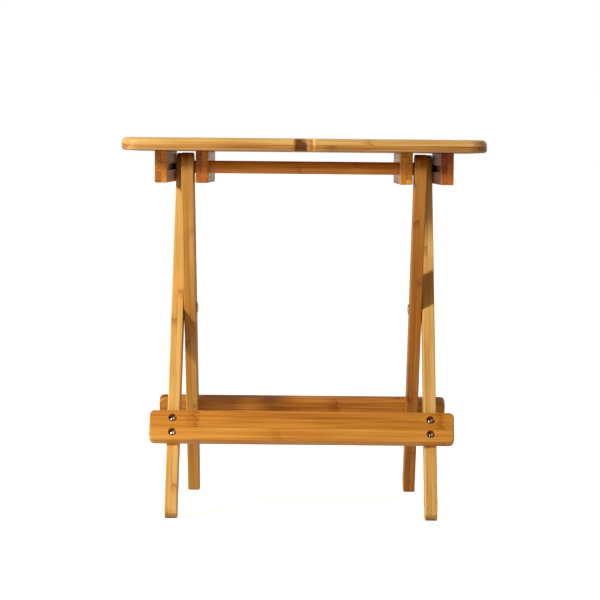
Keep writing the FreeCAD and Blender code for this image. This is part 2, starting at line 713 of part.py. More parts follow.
for item in document.Objects:
    if "Invalid" in item.State or "Error" in item.State:
        raise RuntimeError(f"{item.Label} failed to build: {item.State}")
for part in sub_parts:
    if part.Shape.isNull() or not part.Shape.isValid():
        raise RuntimeError(f"{part.Label} has no valid shape")

os.makedirs("parts", exist_ok=True)
for part in sub_parts:
    part.Shape.exportStep(f"parts/{part.Label}.step")
    print(f"{part.Label}: {len(part.Shape.Solids)} solid(s), {part.Shape.Volume:.1f} mm3")
print(f"pivot height {value(PIVOT_HEIGHT):.4f}, axis height {value(AXIS_HEIGHT):.4f},"
      f" hinge reach {value(HINGE_REACH):.4f}, lean {value(LEAN):.4f}")
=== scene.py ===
"""Folding tray table of laminated bamboo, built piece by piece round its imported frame."""

import json
import math

import bpy
import numpy as np
from mathutils import Matrix, Vector
from mathutils.geometry import delaunay_2d_cdt


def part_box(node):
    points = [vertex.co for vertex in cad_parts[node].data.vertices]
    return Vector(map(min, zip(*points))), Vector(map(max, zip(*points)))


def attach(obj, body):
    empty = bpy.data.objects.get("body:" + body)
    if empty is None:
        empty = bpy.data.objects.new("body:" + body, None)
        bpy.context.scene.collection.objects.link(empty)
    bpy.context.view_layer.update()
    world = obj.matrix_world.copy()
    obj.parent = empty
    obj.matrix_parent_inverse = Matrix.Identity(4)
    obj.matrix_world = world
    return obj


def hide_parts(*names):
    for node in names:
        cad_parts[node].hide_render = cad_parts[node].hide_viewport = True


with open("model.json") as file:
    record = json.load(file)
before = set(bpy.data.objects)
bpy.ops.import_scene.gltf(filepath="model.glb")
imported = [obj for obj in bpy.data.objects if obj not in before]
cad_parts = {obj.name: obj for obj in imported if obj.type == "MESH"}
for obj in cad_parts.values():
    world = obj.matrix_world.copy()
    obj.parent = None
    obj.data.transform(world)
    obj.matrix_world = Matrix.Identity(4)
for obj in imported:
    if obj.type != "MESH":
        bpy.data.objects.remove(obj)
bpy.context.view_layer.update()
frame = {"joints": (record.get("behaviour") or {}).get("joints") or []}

bl_info = {
    "name": "Folding tray table",
    "version": (1, 0, 0),
    "blender": (4, 5, 0),
    "location": "3D View > Sidebar > Tray table",
    "description": "Builds a folding bamboo tray table on crossed legs round its packed frame",
    "category": "Add Mesh",
}

SIDES = (("left", -1), ("right", 1))

# Radii of the quarter rounds at the mouths of recesses, and how much wider a recess is than its head.
FINE_LIP = 0.0004
BROAD_LIP = 0.0005
RECESS_CLEARANCE = 0.0003

# Edges of metal pieces that bend by more than this angle are sharp.
METAL_CREASE = 0.6

# Rings of a thread in one pitch, and its sides.
THREAD_ROWS = 6
THREAD_SIDES = 20

WOOD_REFLECTION = 0.25
LACQUER_IOR = 1.5

# Pieces of one board are cut this far apart along it, and take their chances from one of seven seeds.
SEED_SHIFT = 0.731
SEED_CYCLE = 7

# Where along X the grain of a board begins.
GRAIN_SLIDE = {"top": 0.048, "rails": -0.032, "rod": -0.041}


# ---------------------------------------------------------------- what the frame gives

def joint_place(name):
    """Where a joint of the frame stands at rest."""
    return next(joint["pos_m"] for joint in frame["joints"] if joint["name"] == name)


def node_box(node):
    """Lowest and highest corner of a frame node."""
    low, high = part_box(node)
    return np.array(low), np.array(high)


PIVOT_HEIGHT = joint_place("scissor_fold")[2]
HINGE_Y, HINGE_HEIGHT = joint_place("top_hinge")[1:]
LEAN = math.atan2(-HINGE_Y, HINGE_HEIGHT - PIVOT_HEIGHT)
UPPER_ARM = math.hypot(HINGE_Y, HINGE_HEIGHT - PIVOT_HEIGHT)


def frame_body(turn):
    """The body of the outer legs (turn 1, feet at the front) or of the inner ones (turn -1)."""
    return "outer_frame" if turn > 0 else "inner_frame"


def leg_frame(turn):
    """A leg's own frame, as columns: across its width, up its length, along X, and the scissor pivot."""
    cosine, sine = math.cos(LEAN), turn * math.sin(LEAN)
    return np.array(((0, 0, 1, 0), (cosine, sine, 0, 0), (-sine, cosine, 0, PIVOT_HEIGHT), (0, 0, 0, 1)))


def rail_frame(turn):
    """A rail's own frame: along the rail, up the legs, and outwards from the legs' faces."""
    cosine, sine = math.cos(LEAN), math.sin(LEAN)
    return np.array(((turn, 0, 0, 0), (0, turn * sine, -turn * cosine, 0),
                     (0, cosine, sine, PIVOT_HEIGHT), (0, 0, 0, 1)))


def frame_along(direction, origin):
    """A frame whose third axis is a direction, for pieces turned about an axis."""
    third = np.asarray(direction, float)
    helper = np.array((0.0, 0.0, 1.0)) if abs(third[2]) < 0.9 else np.array((1.0, 0.0, 0.0))
    first = np.cross(helper, third)
    first /= np.linalg.norm(first)
    matrix = np.eye(4)
    matrix[:3] = np.stack((first, np.cross(third, first), third, np.asarray(origin, float)), 1)
    return matrix


# ---------------------------------------------------------------- surfaces

def unit(vectors):
    """Each vector divided by its length; a vector of no length stays 0."""
    length = np.linalg.norm(vectors, axis=-1, keepdims=True)
    return np.divide(vectors, length, out=np.zeros_like(vectors), where=length > 0)


def rounded(corners, radii, steps=8, closed=True):
    """Points and outward normals of a flat outline, anticlockwise, with an arc at every corner.

    On a corner's arc a point is centre + radius * (cos a, sin a), where a turns evenly from the
    normal of the side before it to the normal of the side after it.
    """
    corners = np.asarray(corners, float)
    radii = np.broadcast_to(np.asarray(radii, float), len(corners))
    before = unit(corners - np.roll(corners, 1, 0))
    after = unit(np.roll(corners, -1, 0) - corners)
    if not closed:
        before[0], after[-1] = after[0], before[-1]
    turn = np.arctan2(before[:, 0] * after[:, 1] - before[:, 1] * after[:, 0], (before * after).sum(1))
    bend = np.sign(turn) * radii
    out = np.stack((before[:, 1], -before[:, 0]), 1)
    cut = radii * np.tan(np.abs(turn) / 2)
    centre = corners - before * cut[:, None] - out * bend[:, None]
    angle = np.arctan2(out[:, 1], out[:, 0])[:, None] + turn[:, None] * np.linspace(0, 1, steps + 1)
    normals = np.stack((np.cos(angle), np.sin(angle)), -1)
    points = (centre[:, None] + normals * bend[:, None, None]).reshape(-1, 2)
    normals = normals.reshape(-1, 2)
    step = points - np.roll(points, 1, 0)
    fresh = np.hypot(step[:, 0], step[:, 1]) > 1e-8
    fresh[0] = fresh[0] or not closed
    return points[fresh], normals[fresh]


def grid_faces(rows, columns, closed=True):
    """Quads of a grid of points; when it is closed, the last row joins the first."""
    index = np.arange(rows * columns).reshape(rows, columns)
    here, there = (index, np.roll(index, -1, 0)) if closed else (index[:-1], index[1:])
    return np.stack((here[:, :-1], there[:, :-1], there[:, 1:], here[:, 1:]), -1).reshape(-1, 4)


def patch(points, normals, faces, wear=0.0):
    """A patch of surface: points, their normals, faces, and its painted light: a painted highlight where a
    point is on a rounded edge, painted shade where the mark is below 0.
    """
    points = np.reshape(points, (-1, 3))
    normals = np.broadcast_to(np.reshape(normals, (-1, 3)), points.shape)
    return {"points": points, "normals": normals, "faces": faces,
            "wear": np.broadcast_to(np.asarray(wear, float), len(points))}


def placed(piece, matrix):
    """A patch in another frame; a frame that mirrors turns its faces round again."""
    matrix = np.asarray(matrix, float)
    faces = piece["faces"] if np.linalg.det(matrix[:3, :3]) > 0 else piece["faces"][:, ::-1]
    return {"points": piece["points"] @ matrix[:3, :3].T + matrix[:3, 3],
            "normals": piece["normals"] @ matrix[:3, :3].T, "faces": faces, "wear": piece["wear"]}


def flat(rim, height=0.0, holes=()):
    """A flat patch inside a rim and outside its holes, cut into triangles, facing up."""
    loops = [rim, *holes]
    starts = np.cumsum([0] + [len(loop) for loop in loops])
    sides = [np.stack((np.arange(a, b), np.roll(np.arange(a, b), -1)), 1) for a, b in zip(starts, starts[1:])]
    corners = np.concatenate(loops)
    _, _, faces, origin, _, _ = delaunay_2d_cdt(
        [Vector(point) for point in corners.tolist()], np.concatenate(sides).tolist(), [], 1, 1e-9)
    faces = np.array([[origin[corner][0] for corner in face] for face in faces])
    a, b, c = (corners[faces[:, k]] for k in range(3))
    area = (b[:, 0] - a[:, 0]) * (c[:, 1] - a[:, 1]) - (b[:, 1] - a[:, 1]) * (c[:, 0] - a[:, 0])
    faces = np.where(area[:, None] > 0, faces, faces[:, ::-1])
    middle = (a + b + c) / 3
    for hole in holes:
        side = np.roll(hole, -1, 0) - hole
        reach = middle[:, None] - hole
        inside = (side[:, 0] * reach[..., 1] - side[:, 1] * reach[..., 0] > 0).all(1)
        faces, middle = faces[~inside], middle[~inside]
    points = np.column_stack((corners, np.full(len(corners), height)))
    return patch(points, np.array((0.0, 0.0, 1.0)), faces)


def band(outline, normals, inset, height, outward, upward, wear):
    """A profile carried round an outline: point = outline - inset * normal, lifted by height."""
    across = outline[:, None] - inset[..., None] * normals[:, None]
    rings = inset.shape[1]
    points = np.concatenate((across, height[..., None]), -1)
    facing = np.concatenate((normals[:, None] * outward[:, None],
                             np.broadcast_to(upward, (len(outline), rings))[..., None]), -1)
    return patch(points, facing, grid_faces(len(outline), rings), np.tile(wear, len(outline)))


def pocket(path, normals, depth, lip):
    """A recess in a face at height 0: a lip that is a quarter round, a straight wall, and a flat floor."""
    turn = np.linspace(0, math.pi / 2, 4)
    grow = np.append(lip * (1 - np.sin(turn)), 0.0)
    drop = np.append(lip * (1 - np.cos(turn)), depth)
    outward, upward = np.append(-np.sin(turn), -1.0), np.append(np.cos(turn), 0.0)
    size = (len(path), len(grow))
    wall = band(path, normals, np.broadcast_to(-grow, size), np.broadcast_to(-drop, size),
                outward, upward, np.zeros(len(grow)))
    return [wall, flat(path, -depth)], path + lip * normals


def edge_profile(thick, lower, upper, steps=5):
    """Edge of a slab from its lower face to its upper one: a quarter round, a straight, a quarter round."""
    turn = np.linspace(0, math.pi / 2, steps + 1)
    sine, cosine = np.sin(turn), np.cos(turn)
    inset = np.concatenate((lower * (1 - sine), upper * (1 - cosine)))
    lift = np.concatenate((lower * (1 - cosine), -upper * (1 - sine)))
    base = np.repeat((0.0, thick), steps + 1)
    # Painted highlight: a rounded edge is drawn lighter, most at the middle of each quarter round.
    wear = np.sin(2 * np.concatenate((turn, turn)))
    return inset, lift, base, np.concatenate((sine, cosine)), np.concatenate((-cosine, sine)), wear


def slab(outline, normals, low, thick, rounds, upper_holes=(), lower_holes=(), soften=None):
    """A slab with rounded edges: its edge profile is carried round its outline, and both faces are flat.

    A hole is (path, normals, depth, lip). soften scales the edge's radius from point to point.
    """
    inset, lift, base, outward, upward, wear = edge_profile(thick, *rounds)
    soften = np.ones(len(outline)) if soften is None else soften
    inset = soften[:, None] * inset
    side = band(outline, normals, inset, base + soften[:, None] * lift, outward, upward, wear)
    patches = [side]
    for column, top, holes in ((-1, thick, upper_holes), (0, 0.0, lower_holes)):
        face_up = np.diag((1.0, 1.0, 1.0 if top else -1.0, 1.0))
        face_up[2, 3] = top
        rims = []
        for hole in holes:
            parts, rim = pocket(*hole)
            rims.append(rim)
            patches.extend(placed(part, face_up) for part in parts)
        rim = outline - inset[:, column, None] * normals
        patches.append(placed(flat(rim, holes=rims), face_up))
    lifted = np.eye(4)
    lifted[2, 3] = low
    return [placed(piece, lifted) for piece in patches]


def stadium(centre, radius, reach=0.0, steps=24):
    """A round hole's path, or a slot's when reach carries its two ends apart along the first axis."""
    x, y = centre
    corners = ((x - reach - radius, y - radius), (x + reach + radius, y - radius),
               (x + reach + radius, y + radius), (x - reach - radius, y + radius))
    return rounded(corners, radius, steps // 4)


def revolved(profile, radii, segments=48, steps=4, closed=False, facet=None):
    """A turned surface: point = (r cos a, r sin a, z), with (r, z) along the profile and a round the axis.

    facet(a, r, z) gives a factor on r, for a socket or a thread.
    """
    line, out = rounded(profile, radii, steps, closed)
    if closed:
        line, out = np.concatenate((line, line[:1])), np.concatenate((out, out[:1]))
    angle = np.arange(segments) * (2 * math.pi / segments)
    around = np.stack((np.cos(angle), np.sin(angle)), 1)
    radius = np.broadcast_to(line[:, 0], (segments, len(line)))
    if facet:
        radius = radius * facet(angle[:, None], line[:, 0], line[:, 1])
    points = np.concatenate((radius[..., None] * around[:, None],
                             np.broadcast_to(line[:, 1], radius.shape)[..., None]), -1)
    facing = np.concatenate((out[:, 0][:, None] * around[:, None],
                             np.broadcast_to(out[:, 1], radius.shape)[..., None]), -1)
    return patch(points, facing, grid_faces(segments, len(line)))


def clean_faces(faces, weld):
    """Faces with no corner twice: a quad at a pole becomes a triangle, and one of no width goes.

    Corners are the same when they are welded to the same point.
    """
    repeat = weld[faces] == np.roll(weld[faces], -1, 1)
    whole = faces[~repeat.any(1)]
    if faces.shape[1] == 3:
        return [whole]
    once = repeat.sum(1) == 1
    return [whole, faces[once][~repeat[once]].reshape(-1, 3)]


def welded_points(points):
    """Index of the first of each set of equal points, and the set that every point belongs to."""
    _, first, weld = np.unique(np.round(points, 7), axis=0, return_index=True, return_inverse=True)
    return first, weld.reshape(-1)


def make_piece(name, patches, body, nodes, material, grain=None, seed=0, crease=None):
    """Welds patches into one closed piece, gives it its normals, grain and finish, and hangs it on its body.

    grain is (origin, along, across, through): the place in the wood is the distance along each of the
    three directions, from an origin that lies a little outside the piece, so that its first strip and
    layer are not whole ones. crease makes edges past that angle sharp, instead of using the patches' normals.
    """
    starts = np.cumsum([0] + [len(piece["points"]) for piece in patches])
    points, normals, wear = (np.concatenate([piece[key] for piece in patches])
                             for key in ("points", "normals", "wear"))
    first, weld = welded_points(points)
    faces = [kept for start, piece in zip(starts, patches)
             for kept in clean_faces(piece["faces"] + start, weld)]
    raw = np.concatenate([kept.reshape(-1) for kept in faces])
    sizes = np.concatenate([np.full(len(kept), kept.shape[1]) for kept in faces])
    mesh = bpy.data.meshes.new(name)
    mesh.vertices.add(len(first))
    mesh.vertices.foreach_set("co", points[first].astype(np.float32).ravel())
    mesh.loops.add(len(raw))
    mesh.loops.foreach_set("vertex_index", weld[raw].astype(np.int32))
    mesh.polygons.add(len(sizes))
    mesh.polygons.foreach_set("loop_start", (np.cumsum(sizes) - sizes).astype(np.int32))
    mesh.polygons.foreach_set("use_smooth", np.ones(len(sizes), bool))
    mesh.update(calc_edges=True)
    if mesh.validate():
        raise RuntimeError(f"{name} had faces that had to be mended")
    if grain is not None:
        add_grain(mesh, points[first], normals[raw], wear[raw], grain, seed)
    if crease is None:
        mesh.normals_split_custom_set(unit(normals[raw]).tolist())
    else:
        mesh.set_sharp_from_angle(angle=crease)
    mesh.materials.append(material)
    piece = bpy.data.objects.new(name, mesh)
    bpy.context.scene.collection.objects.link(piece)
    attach(piece, body)
    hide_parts(*nodes)


def add_grain(mesh, points, normals, wear, grain, seed):
    """Stores the place in the wood, and three marks: painted light, end grain and seed.

    The painted-light mark is above 0 on a rounded edge, where it paints a highlight, and below 0 on the
    notch's wall, where it paints shade.
    Every seed takes its piece from another place along the board.
    """
    origin, *axes = (np.asarray(part, float) for part in grain)
    place = (points - origin) @ np.stack(axes, 1)
    place[:, 0] += SEED_SHIFT * seed
    end = np.clip((np.abs(normals @ axes[0]) - 0.35) / 0.6, 0, 1) ** 2
    marks = np.stack((wear, end, np.full(len(wear), seed % SEED_CYCLE / SEED_CYCLE)), 1)
    for name, domain, values in (("grain", "POINT", place), ("marks", "CORNER", marks)):
        attribute = mesh.attributes.new(name, "FLOAT_VECTOR", domain)
        attribute.data.foreach_set("vector", values.astype(np.float32).ravel())


# ---------------------------------------------------------------- shader helpers

def add_node(tree, kind, inputs=None, **settings):
    """Adds a node. An input takes a value or another node's output."""
    node = tree.nodes.new(kind)
    for name, value in settings.items():
        setattr(node, name, value)
    for name, value in (inputs or {}).items():
        if isinstance(value, bpy.types.NodeSocket):
            tree.links.new(value, node.inputs[name])
        else:
            node.inputs[name].default_value = value
    return node


def calc(tree, operation, *values, clamp=False):
    """One step of arithmetic on numbers and outputs."""
    node = add_node(tree, "ShaderNodeMath", dict(enumerate(values)), operation=operation, use_clamp=clamp)
    return node.outputs[0]


def scaled(tree, vector, factors):
    """A vector multiplied axis by axis."""
    node = add_node(tree, "ShaderNodeVectorMath", {0: vector, 1: factors}, operation="MULTIPLY")
    return node.outputs[0]


def noise(tree, vector, detail=2.0, roughness=0.5):
    """Cloudy noise, from 0 to 1."""
    node = add_node(tree, "ShaderNodeTexNoise", {"Vector": vector, "Scale": 1.0, "Detail": detail,
                                                 "Roughness": roughness})
    return node.outputs["Fac"]


def fade(tree, value, start, end):
    """Smooth step from 1 at start to 0 at end."""
    node = add_node(tree, "ShaderNodeMapRange",
                    {"Value": value, "From Min": start, "From Max": end, "To Min": 1.0, "To Max": 0.0},
                    interpolation_type="SMOOTHSTEP")
    return node.outputs[0]


def bell(tree, distance, width):
    """exp(-(distance / width) squared)."""
    ratio = calc(tree, "DIVIDE", distance, width)
    return calc(tree, "EXPONENT", calc(tree, "MULTIPLY", calc(tree, "MULTIPLY", ratio, ratio), -1.0))


def mixed(tree, factor, first, second):
    """The first colour where the factor is 0, the second where it is 1."""
    node = add_node(tree, "ShaderNodeMix", {0: factor, 6: first, 7: second}, data_type="RGBA")
    return node.outputs[2]


def new_group(name, inputs, outputs):
    """An empty node group with named sockets; returns the group and its input and output nodes."""
    tree = bpy.data.node_groups.new(name, "ShaderNodeTree")
    for way, sockets in (("INPUT", inputs), ("OUTPUT", outputs)):
        for socket, kind in sockets:
            tree.interface.new_socket(socket, in_out=way, socket_type=f"NodeSocket{kind}")
    return tree, tree.nodes.new("NodeGroupInput"), tree.nodes.new("NodeGroupOutput")


def new_material(name):
    """A material, its node tree and its shader."""
    material = bpy.data.materials.new(name)
    material.use_nodes = True
    return material, material.node_tree, material.node_tree.nodes["Principled BSDF"]


# ---------------------------------------------------------------- finishes

def bamboo_group():
    """Bamboo glued up from strips, from the place (along, across, through) in the piece.

    Each strip has its own tone, fibres drawn out along it, a knuckle now and then, and a glue line
    beside it; alternate layers differ in tone, and a face cut across the fibres is darker and dotted.
    """
    name = "bamboo_strips"
    if name in bpy.data.node_groups:
        return bpy.data.node_groups[name]
    tree, given, result = new_group(
        name,
        (("Place", "Vector"), ("Marks", "Vector"), ("Strip width", "Float"), ("Layer thickness", "Float"),
         ("Strip contrast", "Float"), ("Layer contrast", "Float"), ("Streaks", "Float"),
         ("Knuckle spacing", "Float"),
         ("Light", "Color"), ("Middle", "Color"), ("Dark", "Color")),
        (("Color", "Color"), ("Roughness", "Float"), ("Height", "Float")))
    sep = add_node(tree, "ShaderNodeSeparateXYZ", {0: given.outputs["Place"]})
    along, across, through = sep.outputs
    marks = add_node(tree, "ShaderNodeSeparateXYZ", {0: given.outputs["Marks"]})
    edge, end, seed = marks.outputs
    seed = calc(tree, "FLOOR", calc(tree, "MULTIPLY_ADD", seed, SEED_CYCLE, 0.5))

    layer = calc(tree, "DIVIDE", through, given.outputs["Layer thickness"])
    layer_number = calc(tree, "FLOOR", layer)
    strip = calc(tree, "MULTIPLY_ADD", layer_number, 0.37,
                 calc(tree, "DIVIDE", across, given.outputs["Strip width"]))
    strip_number = calc(tree, "FLOOR", strip)
    cell = add_node(tree, "ShaderNodeCombineXYZ", {0: strip_number, 1: layer_number, 2: seed}).outputs[0]
    chance = add_node(tree, "ShaderNodeTexWhiteNoise", {"Vector": cell}, noise_dimensions="3D")
    own = add_node(tree, "ShaderNodeSeparateColor", {0: chance.outputs["Color"]})

    def glue_line(position, size):
        """1 on the line between two strips and 0 beside it, and how far into its strip a place is."""
        part = calc(tree, "FRACT", position)
        off = calc(tree, "SUBTRACT", 0.5, calc(tree, "ABSOLUTE", calc(tree, "SUBTRACT", part, 0.5)))
        return fade(tree, calc(tree, "MULTIPLY", off, size), 0.0, 0.00035), part

    strip_line, in_strip = glue_line(strip, given.outputs["Strip width"])
    layer_line, _ = glue_line(layer, given.outputs["Layer thickness"])
    line = calc(tree, "MAXIMUM", strip_line, layer_line)

    shifted = add_node(tree, "ShaderNodeVectorMath", {0: given.outputs["Place"], 1: cell},
                       operation="ADD").outputs[0]
    fibre = noise(tree, scaled(tree, shifted, (16, 1300, 1300)), 3.0, 0.6)
    streak = noise(tree, scaled(tree, shifted, (6, 330, 330)), 2.0)
    drift = noise(tree, scaled(tree, shifted, (7, 24, 24)), 1.0)

    spacing = given.outputs["Knuckle spacing"]
    turn = calc(tree, "ADD", calc(tree, "DIVIDE", along, spacing), own.outputs["Green"])
    bow = calc(tree, "MULTIPLY", calc(tree, "POWER", calc(tree, "ABSOLUTE",
               calc(tree, "SUBTRACT", in_strip, 0.5)), 2.0), 0.006)
    off = calc(tree, "MULTIPLY", calc(tree, "SUBTRACT", calc(tree, "FRACT", turn), 0.5), spacing)
    wander = noise(tree, scaled(tree, shifted, (90, 260, 260)), 2.0)
    off = calc(tree, "ADD", calc(tree, "ADD", off, bow),
               calc(tree, "MULTIPLY", calc(tree, "SUBTRACT", wander, 0.5), 0.022))
    strength = calc(tree, "MULTIPLY_ADD", own.outputs["Blue"], 0.7, 0.3)
    ring = calc(tree, "MULTIPLY", bell(tree, off, 0.001), strength)
    swell = calc(tree, "MULTIPLY", bell(tree, calc(tree, "ADD", off, 0.003), 0.0075), strength)

    def weigh(value, weight, centre=0.5):
        """How far a value is from its centre, times a weight."""
        return calc(tree, "MULTIPLY", calc(tree, "SUBTRACT", value, centre), weight)

    dots = add_node(tree, "ShaderNodeTexVoronoi",
                    {"Vector": scaled(tree, given.outputs["Place"], (0, 1500, 1500)), "Scale": 1.0})
    dot = calc(tree, "MULTIPLY", fade(tree, dots.outputs["Distance"], 0.15, 0.5), end)
    parity = calc(tree, "MODULO", calc(tree, "ABSOLUTE", layer_number), 2.0)
    tone = weigh(own.outputs["Red"], given.outputs["Strip contrast"])
    streaks = calc(tree, "MULTIPLY", calc(tree, "ADD", weigh(fibre, 1.1), weigh(streak, 1.3)),
                   given.outputs["Streaks"])
    for term in (weigh(parity, given.outputs["Layer contrast"]), streaks, weigh(drift, 0.8),
                 weigh(ring, -0.42, 0.0), weigh(swell, -0.3, 0.0), weigh(line, -0.3, 0.0),
                 weigh(dot, -0.14, 0.0), weigh(end, -0.14, 0.0), 0.5):
        tone = calc(tree, "ADD", tone, term)
    low = calc(tree, "MULTIPLY", tone, 2.0, clamp=True)
    high = calc(tree, "MULTIPLY_ADD", tone, 2.0, -1.0, clamp=True)
    colour = mixed(tree, low, given.outputs["Dark"], given.outputs["Middle"])
    colour = mixed(tree, high, colour, given.outputs["Light"])
    # Painted highlight: where the mark is above 0, a rounded edge is drawn lighter.
    colour = mixed(tree, calc(tree, "MULTIPLY", edge, 0.18, clamp=True), colour, given.outputs["Light"])
    # Painted shade: where the mark is below 0, on the notch's wall, the colour is drawn darker.
    colour = mixed(tree, calc(tree, "MULTIPLY", edge, -0.55, clamp=True), colour, given.outputs["Dark"])

    tree.links.new(colour, result.inputs["Color"])
    rough = calc(tree, "ADD", weigh(fibre, 0.2), calc(tree, "MULTIPLY_ADD", line, 0.15, 0.36))
    rough = calc(tree, "MULTIPLY_ADD", end, 0.12, rough)
    tree.links.new(rough, result.inputs["Roughness"])
    height = calc(tree, "ADD", calc(tree, "MULTIPLY", fibre, 0.35), calc(tree, "MULTIPLY", swell, 0.5))
    height = calc(tree, "SUBTRACT", height, calc(tree, "MAXIMUM", line, ring))
    tree.links.new(height, result.inputs["Height"])
    return tree


def metal_group():
    """Plated metal: fine turning marks, cloudy tone and small dull spots, from a place in the piece."""
    name = "plated_metal"
    if name in bpy.data.node_groups:
        return bpy.data.node_groups[name]
    tree, given, result = new_group(
        name, (("Place", "Vector"), ("Bright", "Color"), ("Dull", "Color")),
        (("Color", "Color"), ("Roughness", "Float"), ("Height", "Float")))
    cloud = noise(tree, scaled(tree, given.outputs["Place"], (420, 420, 420)), 3.0)
    scratch = noise(tree, scaled(tree, given.outputs["Place"], (9000, 700, 700)), 2.0)
    spots = fade(tree, noise(tree, scaled(tree, given.outputs["Place"], (1500, 1500, 1500))), 0.3, 0.42)
    amount = calc(tree, "MAXIMUM", fade(tree, cloud, 0.35, 0.65), spots)
    colour = mixed(tree, amount, given.outputs["Bright"], given.outputs["Dull"])
    tree.links.new(colour, result.inputs["Color"])
    rough = calc(tree, "MULTIPLY_ADD", amount, 0.16, calc(tree, "MULTIPLY_ADD", scratch, 0.1, 0.2))
    tree.links.new(rough, result.inputs["Roughness"])
    tree.links.new(calc(tree, "SUBTRACT", scratch, spots), result.inputs["Height"])
    return tree


def finish_material(material, group, inputs, depth, constants):
    """Joins a finish group to a material's shader: colour, roughness and a shallow relief."""
    _, tree, shader = material
    node = add_node(tree, "ShaderNodeGroup", None, node_tree=group)
    for name, value in inputs.items():
        if isinstance(value, bpy.types.NodeSocket):
            tree.links.new(value, node.inputs[name])
        else:
            node.inputs[name].default_value = value
    bump = add_node(tree, "ShaderNodeBump",
                    {"Height": node.outputs["Height"], "Strength": 0.5, "Distance": depth})
    tree.links.new(node.outputs["Color"], shader.inputs["Base Color"])
    tree.links.new(node.outputs["Roughness"], shader.inputs["Roughness"])
    tree.links.new(bump.outputs[0], shader.inputs["Normal"])
    for name, value in constants.items():
        shader.inputs[name].default_value = value
    return material[0]


def bamboo(board, strip, layer, contrast, streaks, knuckles, shade, gloss=1.0):
    """Satin lacquered bamboo for the pieces cut from one board.

    strip and layer are the sizes of a strip, contrast holds how much strips and layers differ in tone,
    knuckles is their spacing, shade scales the colours, and gloss scales the lacquer.
    """
    name = f"lacquered_{board}"
    if name in bpy.data.materials:
        return bpy.data.materials[name]
    finish = bpy.context.scene.tray_table_finish
    material = new_material(name)
    tree = material[1]
    place = add_node(tree, "ShaderNodeAttribute", attribute_name="grain").outputs["Vector"]
    marks = add_node(tree, "ShaderNodeAttribute", attribute_name="marks").outputs["Vector"]
    light, middle, dark = ((*(a * b for a, b in zip(colour, shade)), 1.0)
                           for colour in (finish.bamboo_light, finish.bamboo_middle, finish.bamboo_dark))
    inputs = {"Place": place, "Marks": marks, "Strip width": strip, "Layer thickness": layer,
              "Strip contrast": contrast[0], "Layer contrast": contrast[1], "Streaks": streaks,
              "Knuckle spacing": knuckles, "Light": light, "Middle": middle, "Dark": dark}
    constants = {"Coat Weight": finish.lacquer * gloss, "Coat Roughness": finish.lacquer_roughness,
                 "Coat IOR": LACQUER_IOR, "Specular IOR Level": WOOD_REFLECTION * gloss}
    return finish_material(material, bamboo_group(), inputs, 0.00012, constants)


def plated(slot, bright, dull):
    """Plated metal for one kind of fitting."""
    name = f"plated_{slot}"
    if name in bpy.data.materials:
        return bpy.data.materials[name]
    material = new_material(name)
    place = add_node(material[1], "ShaderNodeTexCoord").outputs["Object"]
    inputs = {"Place": place, "Bright": (*bright, 1.0), "Dull": (*dull, 1.0)}
    return finish_material(material, metal_group(), inputs, 0.00002, {"Metallic": 1.0})


def nylon(slot):
    """Matt nylon with a cloudy tone and a fine grained skin."""
    name = f"matt_{slot}"
    if name in bpy.data.materials:
        return bpy.data.materials[name]
    material, tree, shader = new_material(name)
    place = add_node(tree, "ShaderNodeTexCoord").outputs["Object"]
    cloud = noise(tree, scaled(tree, place, (260, 260, 260)), 3.0)
    skin = noise(tree, scaled(tree, place, (6000, 6000, 6000)), 1.0)
    colour = mixed(tree, cloud, (0.78, 0.76, 0.7, 1), (0.62, 0.59, 0.52, 1))
    tree.links.new(colour, shader.inputs["Base Color"])
    tree.links.new(calc(tree, "MULTIPLY_ADD", skin, 0.2, 0.4), shader.inputs["Roughness"])
    bump = add_node(tree, "ShaderNodeBump", {"Height": skin, "Strength": 0.4, "Distance": 0.00003})
    tree.links.new(bump.outputs[0], shader.inputs["Normal"])
    return material


# ---------------------------------------------------------------- pieces

def paint_notch_shade(piece, half_width, back):
    """Paints shade on the notch's upright wall: the mark is -1, and fades at the mouth."""
    across, depth = np.abs(piece["points"][:, 0]), piece["points"][:, 1]
    # cut is how much painted shade each point of the notch's wall takes.
    cut = np.clip((half_width - across) / 0.001, 0, 1) * (depth < back + 0.0005)
    cut = cut * (np.abs(piece["normals"][:, 2]) < 0.6)
    piece["wear"] = np.where(cut > 0, -cut, piece["wear"])


def build_top(sizes):
    """Tabletop: a slab with a finger notch in its front edge; the notch's own edges are only eased."""
    low, high = node_box("tabletop")
    half_width, half_depth = high[0], high[1]
    notch = sizes.notch_width / 2
    back = sizes.notch_depth - half_depth
    plan, mouth = sizes.top_corner_radius, sizes.notch_mouth_radius
    beside = notch + mouth + sizes.notch_blend * np.linspace(0.02, 1, 6)
    corners = [(-half_width, -half_depth), *((-x, -half_depth) for x in beside[::-1]),
               (-notch, -half_depth), (-notch, back), (notch, back), (notch, -half_depth),
               *((x, -half_depth) for x in beside), (half_width, -half_depth),
               (half_width, half_depth), (-half_width, half_depth)]
    plain = [0.0] * len(beside)
    radii = [plan, *plain, mouth, notch - 1e-5, notch - 1e-5, mouth, *plain, plan, plan, plan]
    outline, normals = rounded(corners, radii, 12)
    away = np.clip((np.abs(outline[:, 0]) - notch - mouth) / sizes.notch_blend, 0, 1)
    away = np.where(outline[:, 1] < 0, away * away * (3 - 2 * away), 1.0)
    soften = sizes.notch_easing + (1 - sizes.notch_easing) * away
    thick = high[2] - low[2]
    rounds = (sizes.top_lower_round, sizes.top_upper_round)
    patches = slab(outline, normals, low[2], thick, rounds, soften=soften)
    for piece in patches:
        # The notch's wall is drawn darker: painted shade.
        paint_notch_shade(piece, notch + mouth * 0.2, back)
    wood = bamboo("bamboo_top", strip=0.021, layer=thick * 0.53, contrast=(0.2, 0.46), streaks=0.8,
                  knuckles=0.31, shade=(0.89, 0.96, 1.02))
    corner = (GRAIN_SLIDE["top"], low[1] - 0.0065, low[2] - thick * 0.05)
    grain = (corner, (1, 0, 0), (0, 1, 0), (0, 0, 1))
    make_piece("top_board", patches, "top", ["tabletop"], wood, grain, 3)
